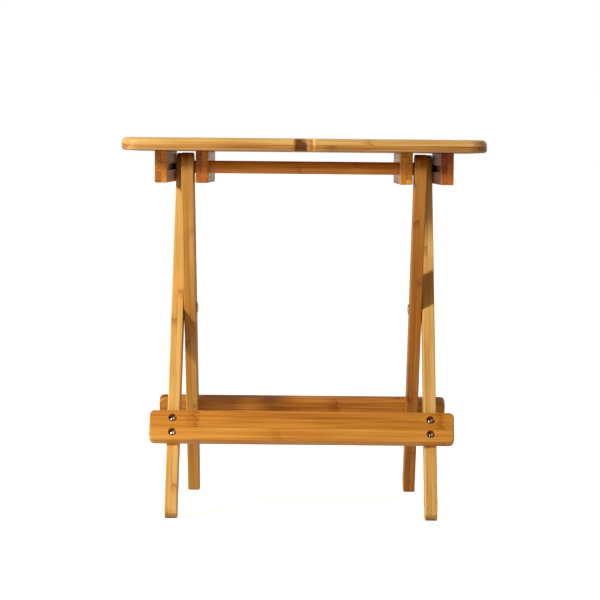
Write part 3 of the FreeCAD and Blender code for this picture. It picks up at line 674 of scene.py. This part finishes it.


# Colour factors for each cleat and leg board. They are partly each board's own tone and partly painted light
# and shade, standing in for light and shade that the lamp does not give: the outer legs are painted lighter,
# and the right inner leg darker.
CLEAT_TONES_AND_PAINTED_SHADE = {"outer_cleat_left": (0.87, 0.67, 0.24), "inner_cleat_left": (0.72, 0.45, 0.18),
                "inner_cleat_right": (1.1, 0.95, 0.4), "outer_cleat_right": (0.68, 0.37, 0.13)}
LEG_TONES_AND_PAINTED_LIGHT = {"bamboo_outer_legs": (1.15, 1.4, 1.75), "bamboo_inner_leg_left": (0.83, 0.83, 0.68),
              "bamboo_inner_leg_right": (0.7, 0.57, 0.34)}


def build_cleat(sizes, node, side, grooved, seed):
    """Cleat: a slab on edge, with two counterbores in its lower edge; an outer one has the pin's groove.

    The slab's lower edge face is taken out and put back with its counterbores.
    """
    low, high = node_box(node)
    half_length, thick = high[1], high[0] - low[0]
    corner, arris = sizes.cleat_corner_radius, sizes.arris_round
    corners = ((-half_length, low[2]), (half_length, low[2]),
               (half_length, high[2]), (-half_length, high[2]))
    outline, normals = rounded(corners, (corner, corner, arris + 0.0001, arris + 0.0001), 6)
    holes = []
    if grooved:
        path, out = stadium((0, HINGE_HEIGHT), sizes.groove_width / 2, -HINGE_Y)
        holes.append((path, out, sizes.groove_depth, FINE_LIP))
    upper, lower = (holes, ()) if side < 0 else ((), holes)
    patches = slab(outline, normals, low[0], thick, (arris, arris), upper, lower)

    wall = patches[0]
    corner_points = wall["points"][wall["faces"]]
    bottom = (np.abs(corner_points[..., 1] - low[2]) < 1e-9).all(1)
    wall["faces"] = wall["faces"][~bottom]
    reach = node_box(node.rsplit("_", 1)[0] + "_screws")[1][1] - sizes.screw_head_diameter / 2
    half_bore = sizes.counterbore_diameter / 2
    parts, rims = [], []
    middle = (low[0] + high[0]) / 2
    for y in (-reach, reach):
        path, out = stadium((y, middle), half_bore)
        recess, rim = pocket(path, out, sizes.cleat_counterbore_depth, FINE_LIP)
        parts.extend(recess)
        rims.append(rim)
    run, width = half_length - corner, thick / 2 - arris
    rim = np.array(((-run, middle - width), (run, middle - width),
                    (run, middle + width), (-run, middle + width)))
    parts.append(flat(rim, holes=rims))
    underside = np.array(((1, 0, 0, 0), (0, 0, -1, low[2]), (0, 1, 0, 0), (0, 0, 0, 1)), float)
    patches.extend(placed(part, underside) for part in parts)
    upright = np.array(((0, 0, 1, 0), (1, 0, 0, 0), (0, 1, 0, 0), (0, 0, 0, 1)), float)
    patches = [placed(piece, upright) for piece in patches]
    # Each cleat's colours carry painted shade as well as its board's own tone.
    wood = bamboo(f"bamboo_{node}", strip=0.0215, layer=0.0092, contrast=(0.36, 0.2), streaks=0.6,
                  knuckles=0.26, shade=CLEAT_TONES_AND_PAINTED_SHADE[node])
    grain = ((low[0] - 0.0006, 0, low[2] - 0.0067), (0, 1, 0), (0, 0, 1), (1, 0, 0))
    make_piece(node.replace("cleat", "cleat_bar"), patches, "top", [node], wood, grain, seed)


def build_leg(sizes, node, turn, side, seed):
    """Leg: a slab, round at the top and cut level at the floor, with a rounded toe."""
    low, high = node_box(node)
    thick = high[0] - low[0]
    half = sizes.leg_width / 2
    rise = turn * half * math.sin(LEAN)
    at_left, at_right = (-(PIVOT_HEIGHT + side_rise) / math.cos(LEAN) for side_rise in (rise, -rise))
    corners = ((-half, at_left), (half, at_right), (half, UPPER_ARM + half), (-half, UPPER_ARM + half))
    heel = sizes.heel_radius
    foot = (sizes.toe_radius, heel) if turn > 0 else (heel, sizes.toe_radius)
    outline, normals = rounded(corners, (*foot, half - 1e-5, half - 1e-5), 14)
    if turn > 0:
        path, out = stadium((0, 0), sizes.pivot_head_diameter / 2 + RECESS_CLEARANCE, steps=48)
        holes = [(path, out, sizes.pivot_recess, BROAD_LIP)]
    else:
        path, out = stadium((0, UPPER_ARM), sizes.screw_head_diameter / 2 + RECESS_CLEARANCE)
        holes = [(path, out, sizes.rod_counterbore_depth, FINE_LIP)]
    arris = sizes.arris_round
    upper, lower = (holes, ()) if side > 0 else ((), holes)
    matrix = leg_frame(turn)
    patches = [placed(piece, matrix)
               for piece in slab(outline, normals, low[0], thick, (arris, arris), upper, lower)]
    # Each inner leg has its own copy of the bamboo, whose colours carry painted shade as well as the board's
    # own tone.
    board = "bamboo_outer_legs" if turn > 0 else f"bamboo_{node}"
    wood = bamboo(board, strip=0.019, layer=thick * 0.56, contrast=(0.14, 0.08), streaks=0.45,
                  knuckles=0.29, shade=LEG_TONES_AND_PAINTED_LIGHT[board], gloss=0.5)
    origin = matrix[:3, 3] - matrix[:3, 0] * (half + 0.006)
    origin[0] = low[0] - thick * 0.05
    grain = (origin, matrix[:3, 1], matrix[:3, 0], (1, 0, 0))
    make_piece(node.replace("leg", "leg_bar"), patches, frame_body(turn), [node], wood,
               grain, seed)


def rail_middle(turn):
    """How far down its legs a rail's middle lies, from the pivot."""
    low, high = node_box("front_rail" if turn > 0 else "rear_rail")
    middle = (low + high) / 2
    return turn * math.sin(LEAN) * middle[1] + math.cos(LEAN) * (middle[2] - PIVOT_HEIGHT)


def screw_columns(turn):
    """Where along X a rail's screws stand: in the middle of the legs that it joins."""
    low, high = node_box("outer_leg_right" if turn > 0 else "inner_leg_right")
    return (low[0] + high[0]) / 2


def build_rail(sizes, node, turn, seed):
    """Rail: a slab with round corners and four counterbores, on the legs' outward faces."""
    low, high = node_box(node)
    half_length, middle, half_height = high[0], rail_middle(turn), sizes.rail_height / 2
    corners = ((-half_length, middle - half_height), (half_length, middle - half_height),
               (half_length, middle + half_height), (-half_length, middle + half_height))
    outline, normals = rounded(corners, sizes.rail_corner_radius, 10)
    holes = []
    for x in (-screw_columns(turn), screw_columns(turn)):
        for y in (middle - sizes.rail_screw_spread, middle + sizes.rail_screw_spread):
            path, out = stadium((x, y), sizes.counterbore_diameter / 2, steps=36)
            holes.append((path, out, sizes.rail_counterbore_depth, BROAD_LIP))
    rounds = (sizes.rail_inner_arris, sizes.rail_arris)
    matrix = rail_frame(turn)
    patches = [placed(piece, matrix)
               for piece in slab(outline, normals, sizes.leg_width / 2, sizes.rail_thick, rounds, holes)]
    wood = bamboo("bamboo_rails", strip=0.016, layer=sizes.rail_height * 0.61, contrast=(0.15, -0.2),
                  streaks=0.75, knuckles=0.33, shade=(0.93, 0.79, 0.48), gloss=0.45)
    origin = matrix[:3, 1] * (middle - half_height * 1.4) + matrix[:3, 3]
    origin[0] = GRAIN_SLIDE["rails"]
    grain = (origin, (1, 0, 0), matrix[:3, 2], matrix[:3, 1])
    make_piece(node + "_bar", patches, frame_body(turn), [node], wood, grain, seed)


def build_rod(sizes):
    """Hinge rod: a turned bamboo dowel with eased ends."""
    low, high = node_box("hinge_rod")
    radius, half = (high[1] - low[1]) / 2, high[0]
    rod = revolved(((0, -half), (radius, -half), (radius, half), (0, half)), (0, 0.0006, 0.0006, 0), 64)
    patches = [placed(rod, frame_along((1, 0, 0), (0, HINGE_Y, HINGE_HEIGHT)))]
    wood = bamboo("bamboo_rod", strip=0.0125, layer=0.0125, contrast=(0.3, 0.2), streaks=0.7,
                  knuckles=0.28, shade=(0.88, 0.62, 0.26), gloss=0.7)
    corner = (GRAIN_SLIDE["rod"], HINGE_Y - radius * 1.3, HINGE_HEIGHT - radius * 1.3)
    grain = (corner, (1, 0, 0), (0, 1, 0), (0, 0, 1))
    make_piece("hinge_dowel", patches, "inner_frame", ["hinge_rod"], wood, grain, 5)


def hex_socket(inner, across):
    """Factor on the radius that turns rings up to an inner radius into a hexagon of that width."""
    def scale(angle, radius, height):
        """The factor at one angle for all the rings."""
        corner = np.mod(angle, math.pi / 3) - math.pi / 6
        flat_side = across / 2 / np.cos(corner) / inner
        return np.where(radius <= inner + 1e-7, flat_side, 1.0)
    return scale


def fastener_head(radius, thick, socket, depth, dome):
    """Round head with its underside at height 0: a dome over a straight rim, with a hexagon socket."""
    inner = socket / 2 * 1.12
    profile = ((0, 0), (radius, 0), (radius, thick - dome), (radius * 0.72, thick - dome * 0.3),
               (inner + 0.0004, thick), (inner, thick - 0.0003), (inner, thick - depth),
               (0, thick - depth - 0.0003))
    radii = (0, 0.0002, dome * 0.4, dome * 0.5, 0.0001, 0.0001, 0.0001, 0)
    return revolved(profile, radii, 48, 3, facet=hex_socket(inner, socket))


def threaded_shank(radius, core, length, pitch, tip):
    """Shank below height 0: the radius rises and falls by the thread's depth once a pitch, down a helix."""
    rows = int(length / pitch * THREAD_ROWS)
    z = -np.linspace(0, length, rows + 1)
    angle = (np.arange(THREAD_SIDES) * (2 * math.pi / THREAD_SIDES))[:, None]
    phase = np.mod(z / pitch + angle / (2 * math.pi), 1.0)
    crest = np.clip(1 - np.abs(phase - 0.5) * 3.6, 0, 1)
    taper = np.clip((length + z) / tip, 0, 1) ** 0.7
    neck, run_in = 0.002, 0.003
    fade_in = np.clip((-z - neck) / run_in, 0, 1)
    across = (core + (radius - core) * crest * fade_in) * taper
    points = np.stack((across * np.cos(angle), across * np.sin(angle), np.broadcast_to(z, across.shape)), -1)
    normal = np.stack(np.broadcast_arrays(np.cos(angle), np.sin(angle), np.zeros_like(z)), -1)
    return patch(points, normal, grid_faces(*across.shape)[:, ::-1])


def screw_patches(sizes, length, seat, inward):
    """One wood screw: its head's underside at the seat, its shank running inwards."""
    radius = sizes.screw_head_diameter / 2
    shank = sizes.screw_shank_diameter / 2
    head = fastener_head(radius, sizes.screw_head_thick, sizes.screw_socket, 0.0019, 0.0012)
    thread = threaded_shank(shank, shank * 0.72, length, sizes.thread_pitch, 0.006)
    matrix = frame_along(-np.asarray(inward, float), seat)
    return [placed(part, matrix) for part in (head, thread)]


def make_screws(name, patches, body, node):
    """A node's zinc plated screws as one piece."""
    zinc = plated("zinc_screws", (0.46, 0.45, 0.42), (0.27, 0.26, 0.25))
    make_piece(name, patches, body, [node], zinc, crease=METAL_CREASE)


def build_rail_screws(sizes, turn, side_name, side):
    """The two screws at one end of a rail, their heads on the floors of its counterbores."""
    node = f"{'front' if turn > 0 else 'rear'}_rail_screws_{side_name}"
    matrix = rail_frame(turn)
    seat = sizes.leg_width / 2 + sizes.rail_thick - sizes.rail_counterbore_depth
    patches = []
    for up in (-1, 1):
        local = (side * turn * screw_columns(turn), rail_middle(turn) + up * sizes.rail_screw_spread, seat, 1)
        place = (matrix @ np.array(local))[:3]
        patches += screw_patches(sizes, sizes.rail_screw_length, place, -matrix[:3, 2])
    make_screws(node.replace("screws", "screw_pair"), patches, frame_body(turn), node)


def build_cleat_screws(sizes, row):
    """The four screws of a pair of cleats, up through them into the top."""
    node = f"{row}_cleat_screws"
    low, high = node_box(node)
    reach = sizes.screw_head_diameter / 2
    seat_height = low[2] + sizes.screw_head_thick
    patches = []
    for x in (-high[0] + reach, high[0] - reach):
        for y in (-high[1] + reach, high[1] - reach):
            patches += screw_patches(sizes, high[2] - seat_height, (x, y, seat_height), (0, 0, 1))
    make_screws(f"{row}_cleat_screw_set", patches, "top", node)


def reach_sideways(node):
    """How far from the middle of the table a node begins and ends."""
    low, high = node_box(node)
    return sorted((abs(low[0]), abs(high[0])))


def build_rod_screw(sizes, side_name, side):
    """The screw through an inner leg into the rod's end."""
    node = f"hinge_rod_screw_{side_name}"
    near, far = reach_sideways(node)
    seat = far - sizes.screw_head_thick
    patches = screw_patches(sizes, seat - near, (side * seat, HINGE_Y, HINGE_HEIGHT), (-side, 0, 0))
    make_screws(f"rod_end_screw_{side_name}", patches, "inner_frame", node)


def build_slide_pin(side_name):
    """Slide pin: a ground steel pin with chamfered ends."""
    node = f"slide_pin_{side_name}"
    low, high = node_box(node)
    radius, middle = (high[1] - low[1]) / 2, (low + high) / 2
    half = (high[0] - low[0]) / 2
    cut = 0.0007
    profile = ((0, -half), (radius - cut, -half), (radius, cut - half), (radius, half - cut),
               (radius - cut, half), (0, half))
    pin = revolved(profile, (0, 0.0001, 0.0001, 0.0001, 0.0001, 0), 40, 2)
    steel = plated("steel_pins", (0.60, 0.60, 0.60), (0.34, 0.33, 0.32))
    patches = [placed(pin, frame_along((1, 0, 0), middle))]
    make_piece(f"slide_pin_{side_name}_bar", patches, "outer_frame", [node], steel,
               crease=METAL_CREASE)


def make_pivot_piece(name, patches, matrix, node, material):
    """One part of a pivot, put in its place on the outer frame."""
    make_piece(name, [placed(part, matrix) for part in patches], "outer_frame", [node], material,
               crease=METAL_CREASE)


def build_pivot_bolt(sizes, side_name, side, nickel):
    """Pivot bolt: a domed head in the outer leg's recess, and a fine thread as far as the nut."""
    node = f"pivot_bolt_{side_name}"
    near, far = reach_sideways(node)
    thick = 0.0024
    bolt = [fastener_head(sizes.pivot_head_diameter / 2, thick, sizes.screw_socket, 0.0018, 0.0010),
            threaded_shank(0.0025, 0.0021, far - near - thick, 0.0009, 0.0008)]
    matrix = frame_along((side, 0, 0), (side * (far - thick), 0, PIVOT_HEIGHT))
    make_pivot_piece(node + "_domed", bolt, matrix, node, nickel)


def build_pivot_nut(sizes, side_name, side, nickel):
    """Barrel nut: a low dome on the inner leg's face, and a bored barrel through the leg."""
    node = f"pivot_nut_{side_name}"
    near, far = reach_sideways(node)
    head, thick, barrel, bore = sizes.pivot_head_diameter / 2, 0.002, 0.004, 0.0027
    length = far - near - thick
    profile = ((0, -thick), (head * 0.55, -thick), (head * 0.9, -thick * 0.72), (head, -thick * 0.4),
               (head, 0), (barrel, 0), (barrel, length), (bore, length), (bore, length - 0.012),
               (0, length - 0.0135))
    nut = revolved(profile, (0, 0.002, 0.001, 0.0003, 0.0002, 0.0001, 0.0003, 0.0001, 0.0002, 0), 48, 3)
    matrix = frame_along((side, 0, 0), (side * (near + thick), 0, PIVOT_HEIGHT))
    make_pivot_piece(node + "_domed", [nut], matrix, node, nickel)


def build_pivot_washer(side_name, side):
    """Washer: a thin nylon ring between the legs."""
    node = f"pivot_washer_{side_name}"
    near, far = reach_sideways(node)
    inner, outer = 0.0042, 0.009
    profile = ((inner, 0), (outer, 0), (outer, far - near), (inner, far - near))
    washer = revolved(profile, 0.0002, 56, 3, closed=True)
    matrix = frame_along((1, 0, 0), (near if side > 0 else -far, 0, PIVOT_HEIGHT))
    make_pivot_piece(node + "_ring", [washer], matrix, node, nylon("nylon_washers"))


def build_pivot(sizes, side_name, side):
    """Scissor pivot: a bolt in the outer leg, a barrel nut in the inner one, and a washer between."""
    nickel = plated("nickel_pivots", (0.70, 0.67, 0.60), (0.40, 0.37, 0.32))
    build_pivot_bolt(sizes, side_name, side, nickel)
    build_pivot_nut(sizes, side_name, side, nickel)
    build_pivot_washer(side_name, side)


# ---------------------------------------------------------------- stage

def floor_material(stage):
    """Pale matt floor, faintly mottled; it is lit up a little for the camera, so that it stays near white."""
    material, tree, shader = new_material("pale_floor")
    place = add_node(tree, "ShaderNodeTexCoord").outputs["Object"]
    cloud = noise(tree, scaled(tree, place, (3, 3, 3)), 3.0)
    colour = mixed(tree, cloud, (0.84, 0.84, 0.84, 1), (0.81, 0.81, 0.815, 1))
    tree.links.new(colour, shader.inputs["Base Color"])
    shader.inputs["Roughness"].default_value = 0.9
    shader.inputs["Specular IOR Level"].default_value = 0.0
    glow = add_node(tree, "ShaderNodeEmission", {"Color": (1, 1, 1, 1), "Strength": stage.floor_glow})
    both = add_node(tree, "ShaderNodeAddShader", {0: shader.outputs[0], 1: glow.outputs[0]})
    seen = add_node(tree, "ShaderNodeLightPath").outputs["Is Camera Ray"]
    choice = add_node(tree, "ShaderNodeMixShader", {0: seen, 1: shader.outputs[0], 2: both.outputs[0]})
    tree.links.new(choice.outputs[0], tree.nodes["Material Output"].inputs["Surface"])
    return material


def build_floor(stage):
    """Floor: a flat disc, point = (r cos a, r sin a, 0)."""
    radius = np.array((0.0, 0.5, 1.5, 4.0, 12.0, 40.0, 120.0))
    rays = 96
    angle = np.arange(rays)[:, None] * (2 * math.pi / rays)
    points = np.stack(np.broadcast_arrays(radius * np.cos(angle), radius * np.sin(angle), 0.0), -1)
    points = points.reshape(-1, 3)
    first, weld = welded_points(points)
    faces = clean_faces(grid_faces(rays, len(radius))[:, ::-1], weld)
    mesh = bpy.data.meshes.new("studio_floor")
    mesh.from_pydata(points[first].tolist(), [], [face for kept in faces for face in weld[kept].tolist()])
    mesh.update()
    mesh.materials.append(floor_material(stage))
    floor = bpy.data.objects.new("studio_floor", mesh)
    bpy.context.scene.collection.objects.link(floor)


def build_world(stage):
    """Surroundings: a bright white backdrop behind the table and a dim, warm room in front of it."""
    world = bpy.data.worlds.new("white_studio")
    world.use_nodes = True
    tree = world.node_tree
    tree.nodes.clear()
    direction = add_node(tree, "ShaderNodeTexCoord").outputs["Generated"]
    towards_back = add_node(tree, "ShaderNodeSeparateXYZ", {0: direction}).outputs["Y"]
    behind = add_node(tree, "ShaderNodeMapRange",
                      {"Value": towards_back, "From Min": -0.5, "From Max": 0.6, "To Min": stage.front_fill,
                       "To Max": stage.back_fill}, interpolation_type="SMOOTHSTEP").outputs[0]
    seen = add_node(tree, "ShaderNodeLightPath").outputs["Is Camera Ray"]
    strength = calc(tree, "MAXIMUM", seen, behind)
    colour = mixed(tree, strength, (*stage.front_tint, 1.0), (1.0, 1.0, 1.0, 1.0))
    back = add_node(tree, "ShaderNodeBackground", {"Color": colour, "Strength": strength})
    end = add_node(tree, "ShaderNodeOutputWorld")
    tree.links.new(back.outputs[0], end.inputs["Surface"])
    bpy.context.scene.world = world


def build_lamp(stage):
    """Key lamp: a square soft lamp that looks at the middle of the table."""
    target = Vector((0, 0, 0.27))
    bearing, elevation = stage.key_bearing, stage.key_elevation
    level = math.cos(elevation)
    away = Vector((math.sin(bearing) * level, -math.cos(bearing) * level, math.sin(elevation)))
    light = bpy.data.lights.new("key_lamp", "AREA")
    light.shape = "SQUARE"
    light.size = stage.key_size
    light.energy = stage.key_power
    lamp = bpy.data.objects.new("key_lamp", light)
    lamp.location = target + away * stage.key_distance
    lamp.rotation_mode = "QUATERNION"
    lamp.rotation_quaternion = (-away).to_track_quat("-Z", "Y")
    bpy.context.scene.collection.objects.link(lamp)


def build_camera(stage):
    """Camera: a long lens, level but for a slight look down and a slight roll."""
    camera = bpy.data.cameras.new("studio_camera")
    camera.sensor_width = 36
    camera.lens = stage.lens
    camera.clip_start, camera.clip_end = 0.05, 500
    rig = bpy.data.objects.new("studio_camera", camera)
    yaw = Matrix.Rotation(-stage.camera_yaw, 4, "Z")
    pitch = Matrix.Rotation(math.pi / 2 - stage.camera_pitch, 4, "X")
    roll = Matrix.Rotation(stage.camera_roll, 4, "Z")
    rig.matrix_world = Matrix.Translation(stage.camera_place) @ yaw @ pitch @ roll
    bpy.context.scene.collection.objects.link(rig)
    bpy.context.scene.camera = rig


# ---------------------------------------------------------------- what a user may change

def length(name, description, default):
    """A length that a user may change."""
    return bpy.props.FloatProperty(name=name, description=description, default=default, min=0.0,
                                   precision=5, unit="LENGTH")


def factor(name, description, default):
    """A share from 0 to 1 that a user may change."""
    return bpy.props.FloatProperty(name=name, description=description, default=default, min=0.0, max=1.0,
                                   subtype="FACTOR")


def tint(name, description, default):
    """A colour that a user may change."""
    return bpy.props.FloatVectorProperty(name=name, description=description, default=default, size=3,
                                         min=0.0, max=1.0, subtype="COLOR")


def angle(name, description, degrees):
    """An angle that a user may change; its default is given in degrees."""
    return bpy.props.FloatProperty(name=name, description=description, default=math.radians(degrees),
                                   subtype="ANGLE", unit="ROTATION")


class TrayTableSizes(bpy.types.PropertyGroup):
    """Sizes of the roundings, holes and fittings, in metres."""

    top_upper_round: length("Top's upper edge", "Radius of the tabletop's upper edge", 0.0065)
    top_lower_round: length("Top's lower edge", "Radius of the tabletop's lower edge", 0.004)
    top_corner_radius: length("Top's corners", "Radius of the tabletop's corners, in plan", 0.024)
    notch_width: length("Notch width", "Width of the finger notch", 0.0216)
    notch_depth: length("Notch depth", "How far the notch reaches in from the front edge", 0.015)
    notch_mouth_radius: length("Notch mouth", "Radius of the notch's two outer corners, in plan", 0.004)
    notch_easing: factor("Notch easing", "The notch's edge radius as a share of the top's", 0.3)
    notch_blend: length("Notch blend", "Length over which the edge's radius changes beside the notch", 0.006)
    arris_round: length("Arrises", "Radius of the long edges of legs and cleats", 0.0015)
    cleat_corner_radius: length("Cleat corners", "Radius of a cleat's lower corners", 0.002)
    cleat_counterbore_depth: length("Cleat counterbore depth", "Depth of the counterbores in a cleat", 0.014)
    groove_width: length("Groove width", "Width of the slide pin's groove", 0.0086)
    groove_depth: length("Groove depth", "Depth of the slide pin's groove", 0.005)
    leg_width: length("Leg width", "Width of a leg, seen from the side", 0.038)
    toe_radius: length("Toe radius", "Radius of the toe", 0.014)
    heel_radius: length("Heel radius", "Radius of the heel", 0.0022)
    rail_height: length("Rail height", "Height of a rail, up the legs", 0.043)
    rail_thick: length("Rail thickness", "Thickness of a rail", 0.016)
    rail_corner_radius: length("Rail corners", "Radius of a rail's corners", 0.007)
    rail_arris: length("Rail arris", "Radius of a rail's outer edges", 0.002)
    rail_inner_arris: length("Rail inner arris", "Radius of a rail's edges against the legs", 0.0008)
    rail_screw_spread: length("Screw spread", "How far a rail's screws lie from its middle line", 0.0103)
    rail_screw_length: length("Rail screw length", "Length of a rail screw's shank", 0.03)
    rail_counterbore_depth: length("Rail counterbore depth", "Depth of the counterbores in a rail", 0.006)
    rod_counterbore_depth: length("Rod counterbore depth", "Depth of the recess of a rod screw", 0.0035)
    counterbore_diameter: length("Counterbore", "Diameter of the counterbores", 0.011)
    screw_head_diameter: length("Screw head", "Diameter of a screw's head", 0.0078)
    screw_head_thick: length("Screw head thickness", "Thickness of a screw's head", 0.003)
    screw_shank_diameter: length("Screw shank", "Diameter of a screw over its thread", 0.004)
    screw_socket: length("Socket", "Width across the flats of a hexagon socket", 0.003)
    thread_pitch: length("Thread pitch", "Pitch of a wood screw's thread", 0.0018)
    pivot_head_diameter: length("Pivot head", "Diameter of the pivots' heads", 0.015)
    pivot_recess: length("Pivot recess", "Depth of the bolt head's recess", 0.0032)


class TrayTableFinish(bpy.types.PropertyGroup):
    """Colours and gloss of the bamboo."""

    bamboo_light: tint("Light bamboo", "Colour of the lightest strips", (0.72, 0.42, 0.13))
    bamboo_middle: tint("Middle bamboo", "Colour of most strips", (0.55, 0.25, 0.05))
    bamboo_dark: tint("Dark bamboo", "Colour of knuckles and dark fibres", (0.26, 0.08, 0.012))
    lacquer: factor("Lacquer", "Weight of the clear lacquer", 0.3)
    lacquer_roughness: factor("Lacquer roughness", "Roughness of the clear lacquer", 0.26)


class TrayTableStage(bpy.types.PropertyGroup):
    """Camera, lamp, surroundings and floor."""

    camera_place: bpy.props.FloatVectorProperty(
        name="Camera place", description="Where the camera stands", default=(0.0037, -3.468, 0.4767),
        subtype="TRANSLATION", unit="LENGTH")
    camera_pitch: angle("Camera pitch", "How far the camera looks down", 3.19)
    camera_yaw: angle("Camera yaw", "How far the camera looks to the right", -0.13)
    camera_roll: angle("Camera roll", "How far the camera leans to its left", 0.54)
    lens: bpy.props.FloatProperty(
        name="Lens", description="Focal length", default=150.6, min=1.0, unit="CAMERA")
    key_power: bpy.props.FloatProperty(
        name="Key lamp", description="Power of the main lamp", default=52.0, min=0.0, unit="POWER")
    key_bearing: angle("Key bearing", "How far the main lamp stands to the right of the front", -46.0)
    key_elevation: angle("Key elevation", "How far the main lamp stands above the table", 22.0)
    key_distance: length("Key distance", "How far the main lamp stands from the table", 2.2)
    key_size: length("Key size", "Side of the main lamp", 0.3)
    front_fill: factor("Front fill", "Brightness of the room in front of the table", 0.16)
    front_tint: tint("Front tint", "Colour of the room in front of the table", (1.0, 0.66, 0.36))
    back_fill: factor("Backdrop", "Brightness of the white backdrop behind the table", 0.85)
    floor_glow: factor("Floor glow", "Light that the floor adds for the camera", 0.76)


# ---------------------------------------------------------------- operators and panel

class TRAYTABLE_OT_top(bpy.types.Operator):
    """Build the tabletop with its notch"""

    bl_idname = "traytable.top"
    bl_label = "Tabletop"
    bl_options = {"REGISTER", "UNDO"}

    def execute(self, context):
        sizes = context.scene.tray_table_sizes
        build_top(sizes)
        return {"FINISHED"}


class TRAYTABLE_OT_cleats(bpy.types.Operator):
    """Build the four cleats under the top"""

    bl_idname = "traytable.cleats"
    bl_label = "Cleats"
    bl_options = {"REGISTER", "UNDO"}

    def execute(self, context):
        sizes = context.scene.tray_table_sizes
        for seed, (side_name, side) in enumerate(SIDES):
            build_cleat(sizes, f"outer_cleat_{side_name}", side, True, 11 + seed)
            build_cleat(sizes, f"inner_cleat_{side_name}", side, False, 21 + seed)
        return {"FINISHED"}


class TRAYTABLE_OT_legs(bpy.types.Operator):
    """Build the two outer and two inner legs"""

    bl_idname = "traytable.legs"
    bl_label = "Legs"
    bl_options = {"REGISTER", "UNDO"}

    def execute(self, context):
        sizes = context.scene.tray_table_sizes
        for seed, (side_name, side) in enumerate(SIDES):
            build_leg(sizes, f"outer_leg_{side_name}", 1, side, 31 + seed)
            build_leg(sizes, f"inner_leg_{side_name}", -1, side, 41 + seed)
        return {"FINISHED"}


class TRAYTABLE_OT_rails(bpy.types.Operator):
    """Build the front and rear rails"""

    bl_idname = "traytable.rails"
    bl_label = "Rails"
    bl_options = {"REGISTER", "UNDO"}

    def execute(self, context):
        sizes = context.scene.tray_table_sizes
        build_rail(sizes, "front_rail", 1, 51)
        build_rail(sizes, "rear_rail", -1, 54)
        return {"FINISHED"}


class TRAYTABLE_OT_rod(bpy.types.Operator):
    """Build the hinge rod"""

    bl_idname = "traytable.rod"
    bl_label = "Hinge rod"
    bl_options = {"REGISTER", "UNDO"}

    def execute(self, context):
        sizes = context.scene.tray_table_sizes
        build_rod(sizes)
        return {"FINISHED"}


class TRAYTABLE_OT_screws(bpy.types.Operator):
    """Build the screws of the rails, the cleats and the rod"""

    bl_idname = "traytable.screws"
    bl_label = "Screws"
    bl_options = {"REGISTER", "UNDO"}

    def execute(self, context):
        sizes = context.scene.tray_table_sizes
        for side_name, side in SIDES:
            build_rail_screws(sizes, 1, side_name, side)
            build_rail_screws(sizes, -1, side_name, side)
            build_rod_screw(sizes, side_name, side)
        build_cleat_screws(sizes, "outer")
        build_cleat_screws(sizes, "inner")
        return {"FINISHED"}


class TRAYTABLE_OT_pins(bpy.types.Operator):
    """Build the slide pins"""

    bl_idname = "traytable.pins"
    bl_label = "Slide pins"
    bl_options = {"REGISTER", "UNDO"}

    def execute(self, context):
        for side_name, _ in SIDES:
            build_slide_pin(side_name)
        return {"FINISHED"}


class TRAYTABLE_OT_pivots(bpy.types.Operator):
    """Build the scissor pivots' bolts, nuts and washers"""

    bl_idname = "traytable.pivots"
    bl_label = "Scissor pivots"
    bl_options = {"REGISTER", "UNDO"}

    def execute(self, context):
        sizes = context.scene.tray_table_sizes
        for side_name, side in SIDES:
            build_pivot(sizes, side_name, side)
        return {"FINISHED"}


class TRAYTABLE_OT_stage(bpy.types.Operator):
    """Build the floor, the surroundings, the key lamp and the camera"""

    bl_idname = "traytable.stage"
    bl_label = "Stage"
    bl_options = {"REGISTER", "UNDO"}

    def execute(self, context):
        stage = context.scene.tray_table_stage
        build_floor(stage)
        build_world(stage)
        build_lamp(stage)
        build_camera(stage)
        context.scene.view_settings.view_transform = "Standard"
        return {"FINISHED"}


STEPS = (TRAYTABLE_OT_top, TRAYTABLE_OT_cleats, TRAYTABLE_OT_legs, TRAYTABLE_OT_rails, TRAYTABLE_OT_rod,
         TRAYTABLE_OT_screws, TRAYTABLE_OT_pins, TRAYTABLE_OT_pivots, TRAYTABLE_OT_stage)


class TRAYTABLE_PT_panel(bpy.types.Panel):
    """The table's sizes, finish, stage and building steps"""

    bl_idname = "TRAYTABLE_PT_panel"
    bl_label = "Folding tray table"
    bl_space_type = "VIEW_3D"
    bl_region_type = "UI"
    bl_category = "Tray table"

    def draw(self, context):
        for group in (context.scene.tray_table_sizes, context.scene.tray_table_finish,
                      context.scene.tray_table_stage):
            box = self.layout.box()
            for name in group.__annotations__:
                box.prop(group, name)
        for step in STEPS:
            self.layout.operator(step.bl_idname)


GROUPS = (("tray_table_sizes", TrayTableSizes), ("tray_table_finish", TrayTableFinish),
          ("tray_table_stage", TrayTableStage))


def register():
    """Registers the groups of properties, the operators and the panel."""
    for name, group in GROUPS:
        bpy.utils.register_class(group)
        setattr(bpy.types.Scene, name, bpy.props.PointerProperty(type=group))
    for step in (*STEPS, TRAYTABLE_PT_panel):
        bpy.utils.register_class(step)


def unregister():
    """Takes everything out again, in the reverse order."""
    for step in reversed((*STEPS, TRAYTABLE_PT_panel)):
        bpy.utils.unregister_class(step)
    for name, group in reversed(GROUPS):
        delattr(bpy.types.Scene, name)
        bpy.utils.unregister_class(group)


def main():
    """Registers the add-on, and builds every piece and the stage."""
    register()
    steps = bpy.ops.traytable
    for build in (steps.top, steps.cleats, steps.legs, steps.rails, steps.rod,
                  steps.screws, steps.pins, steps.pivots, steps.stage):
        build()


if __name__ == "__main__":
    main()
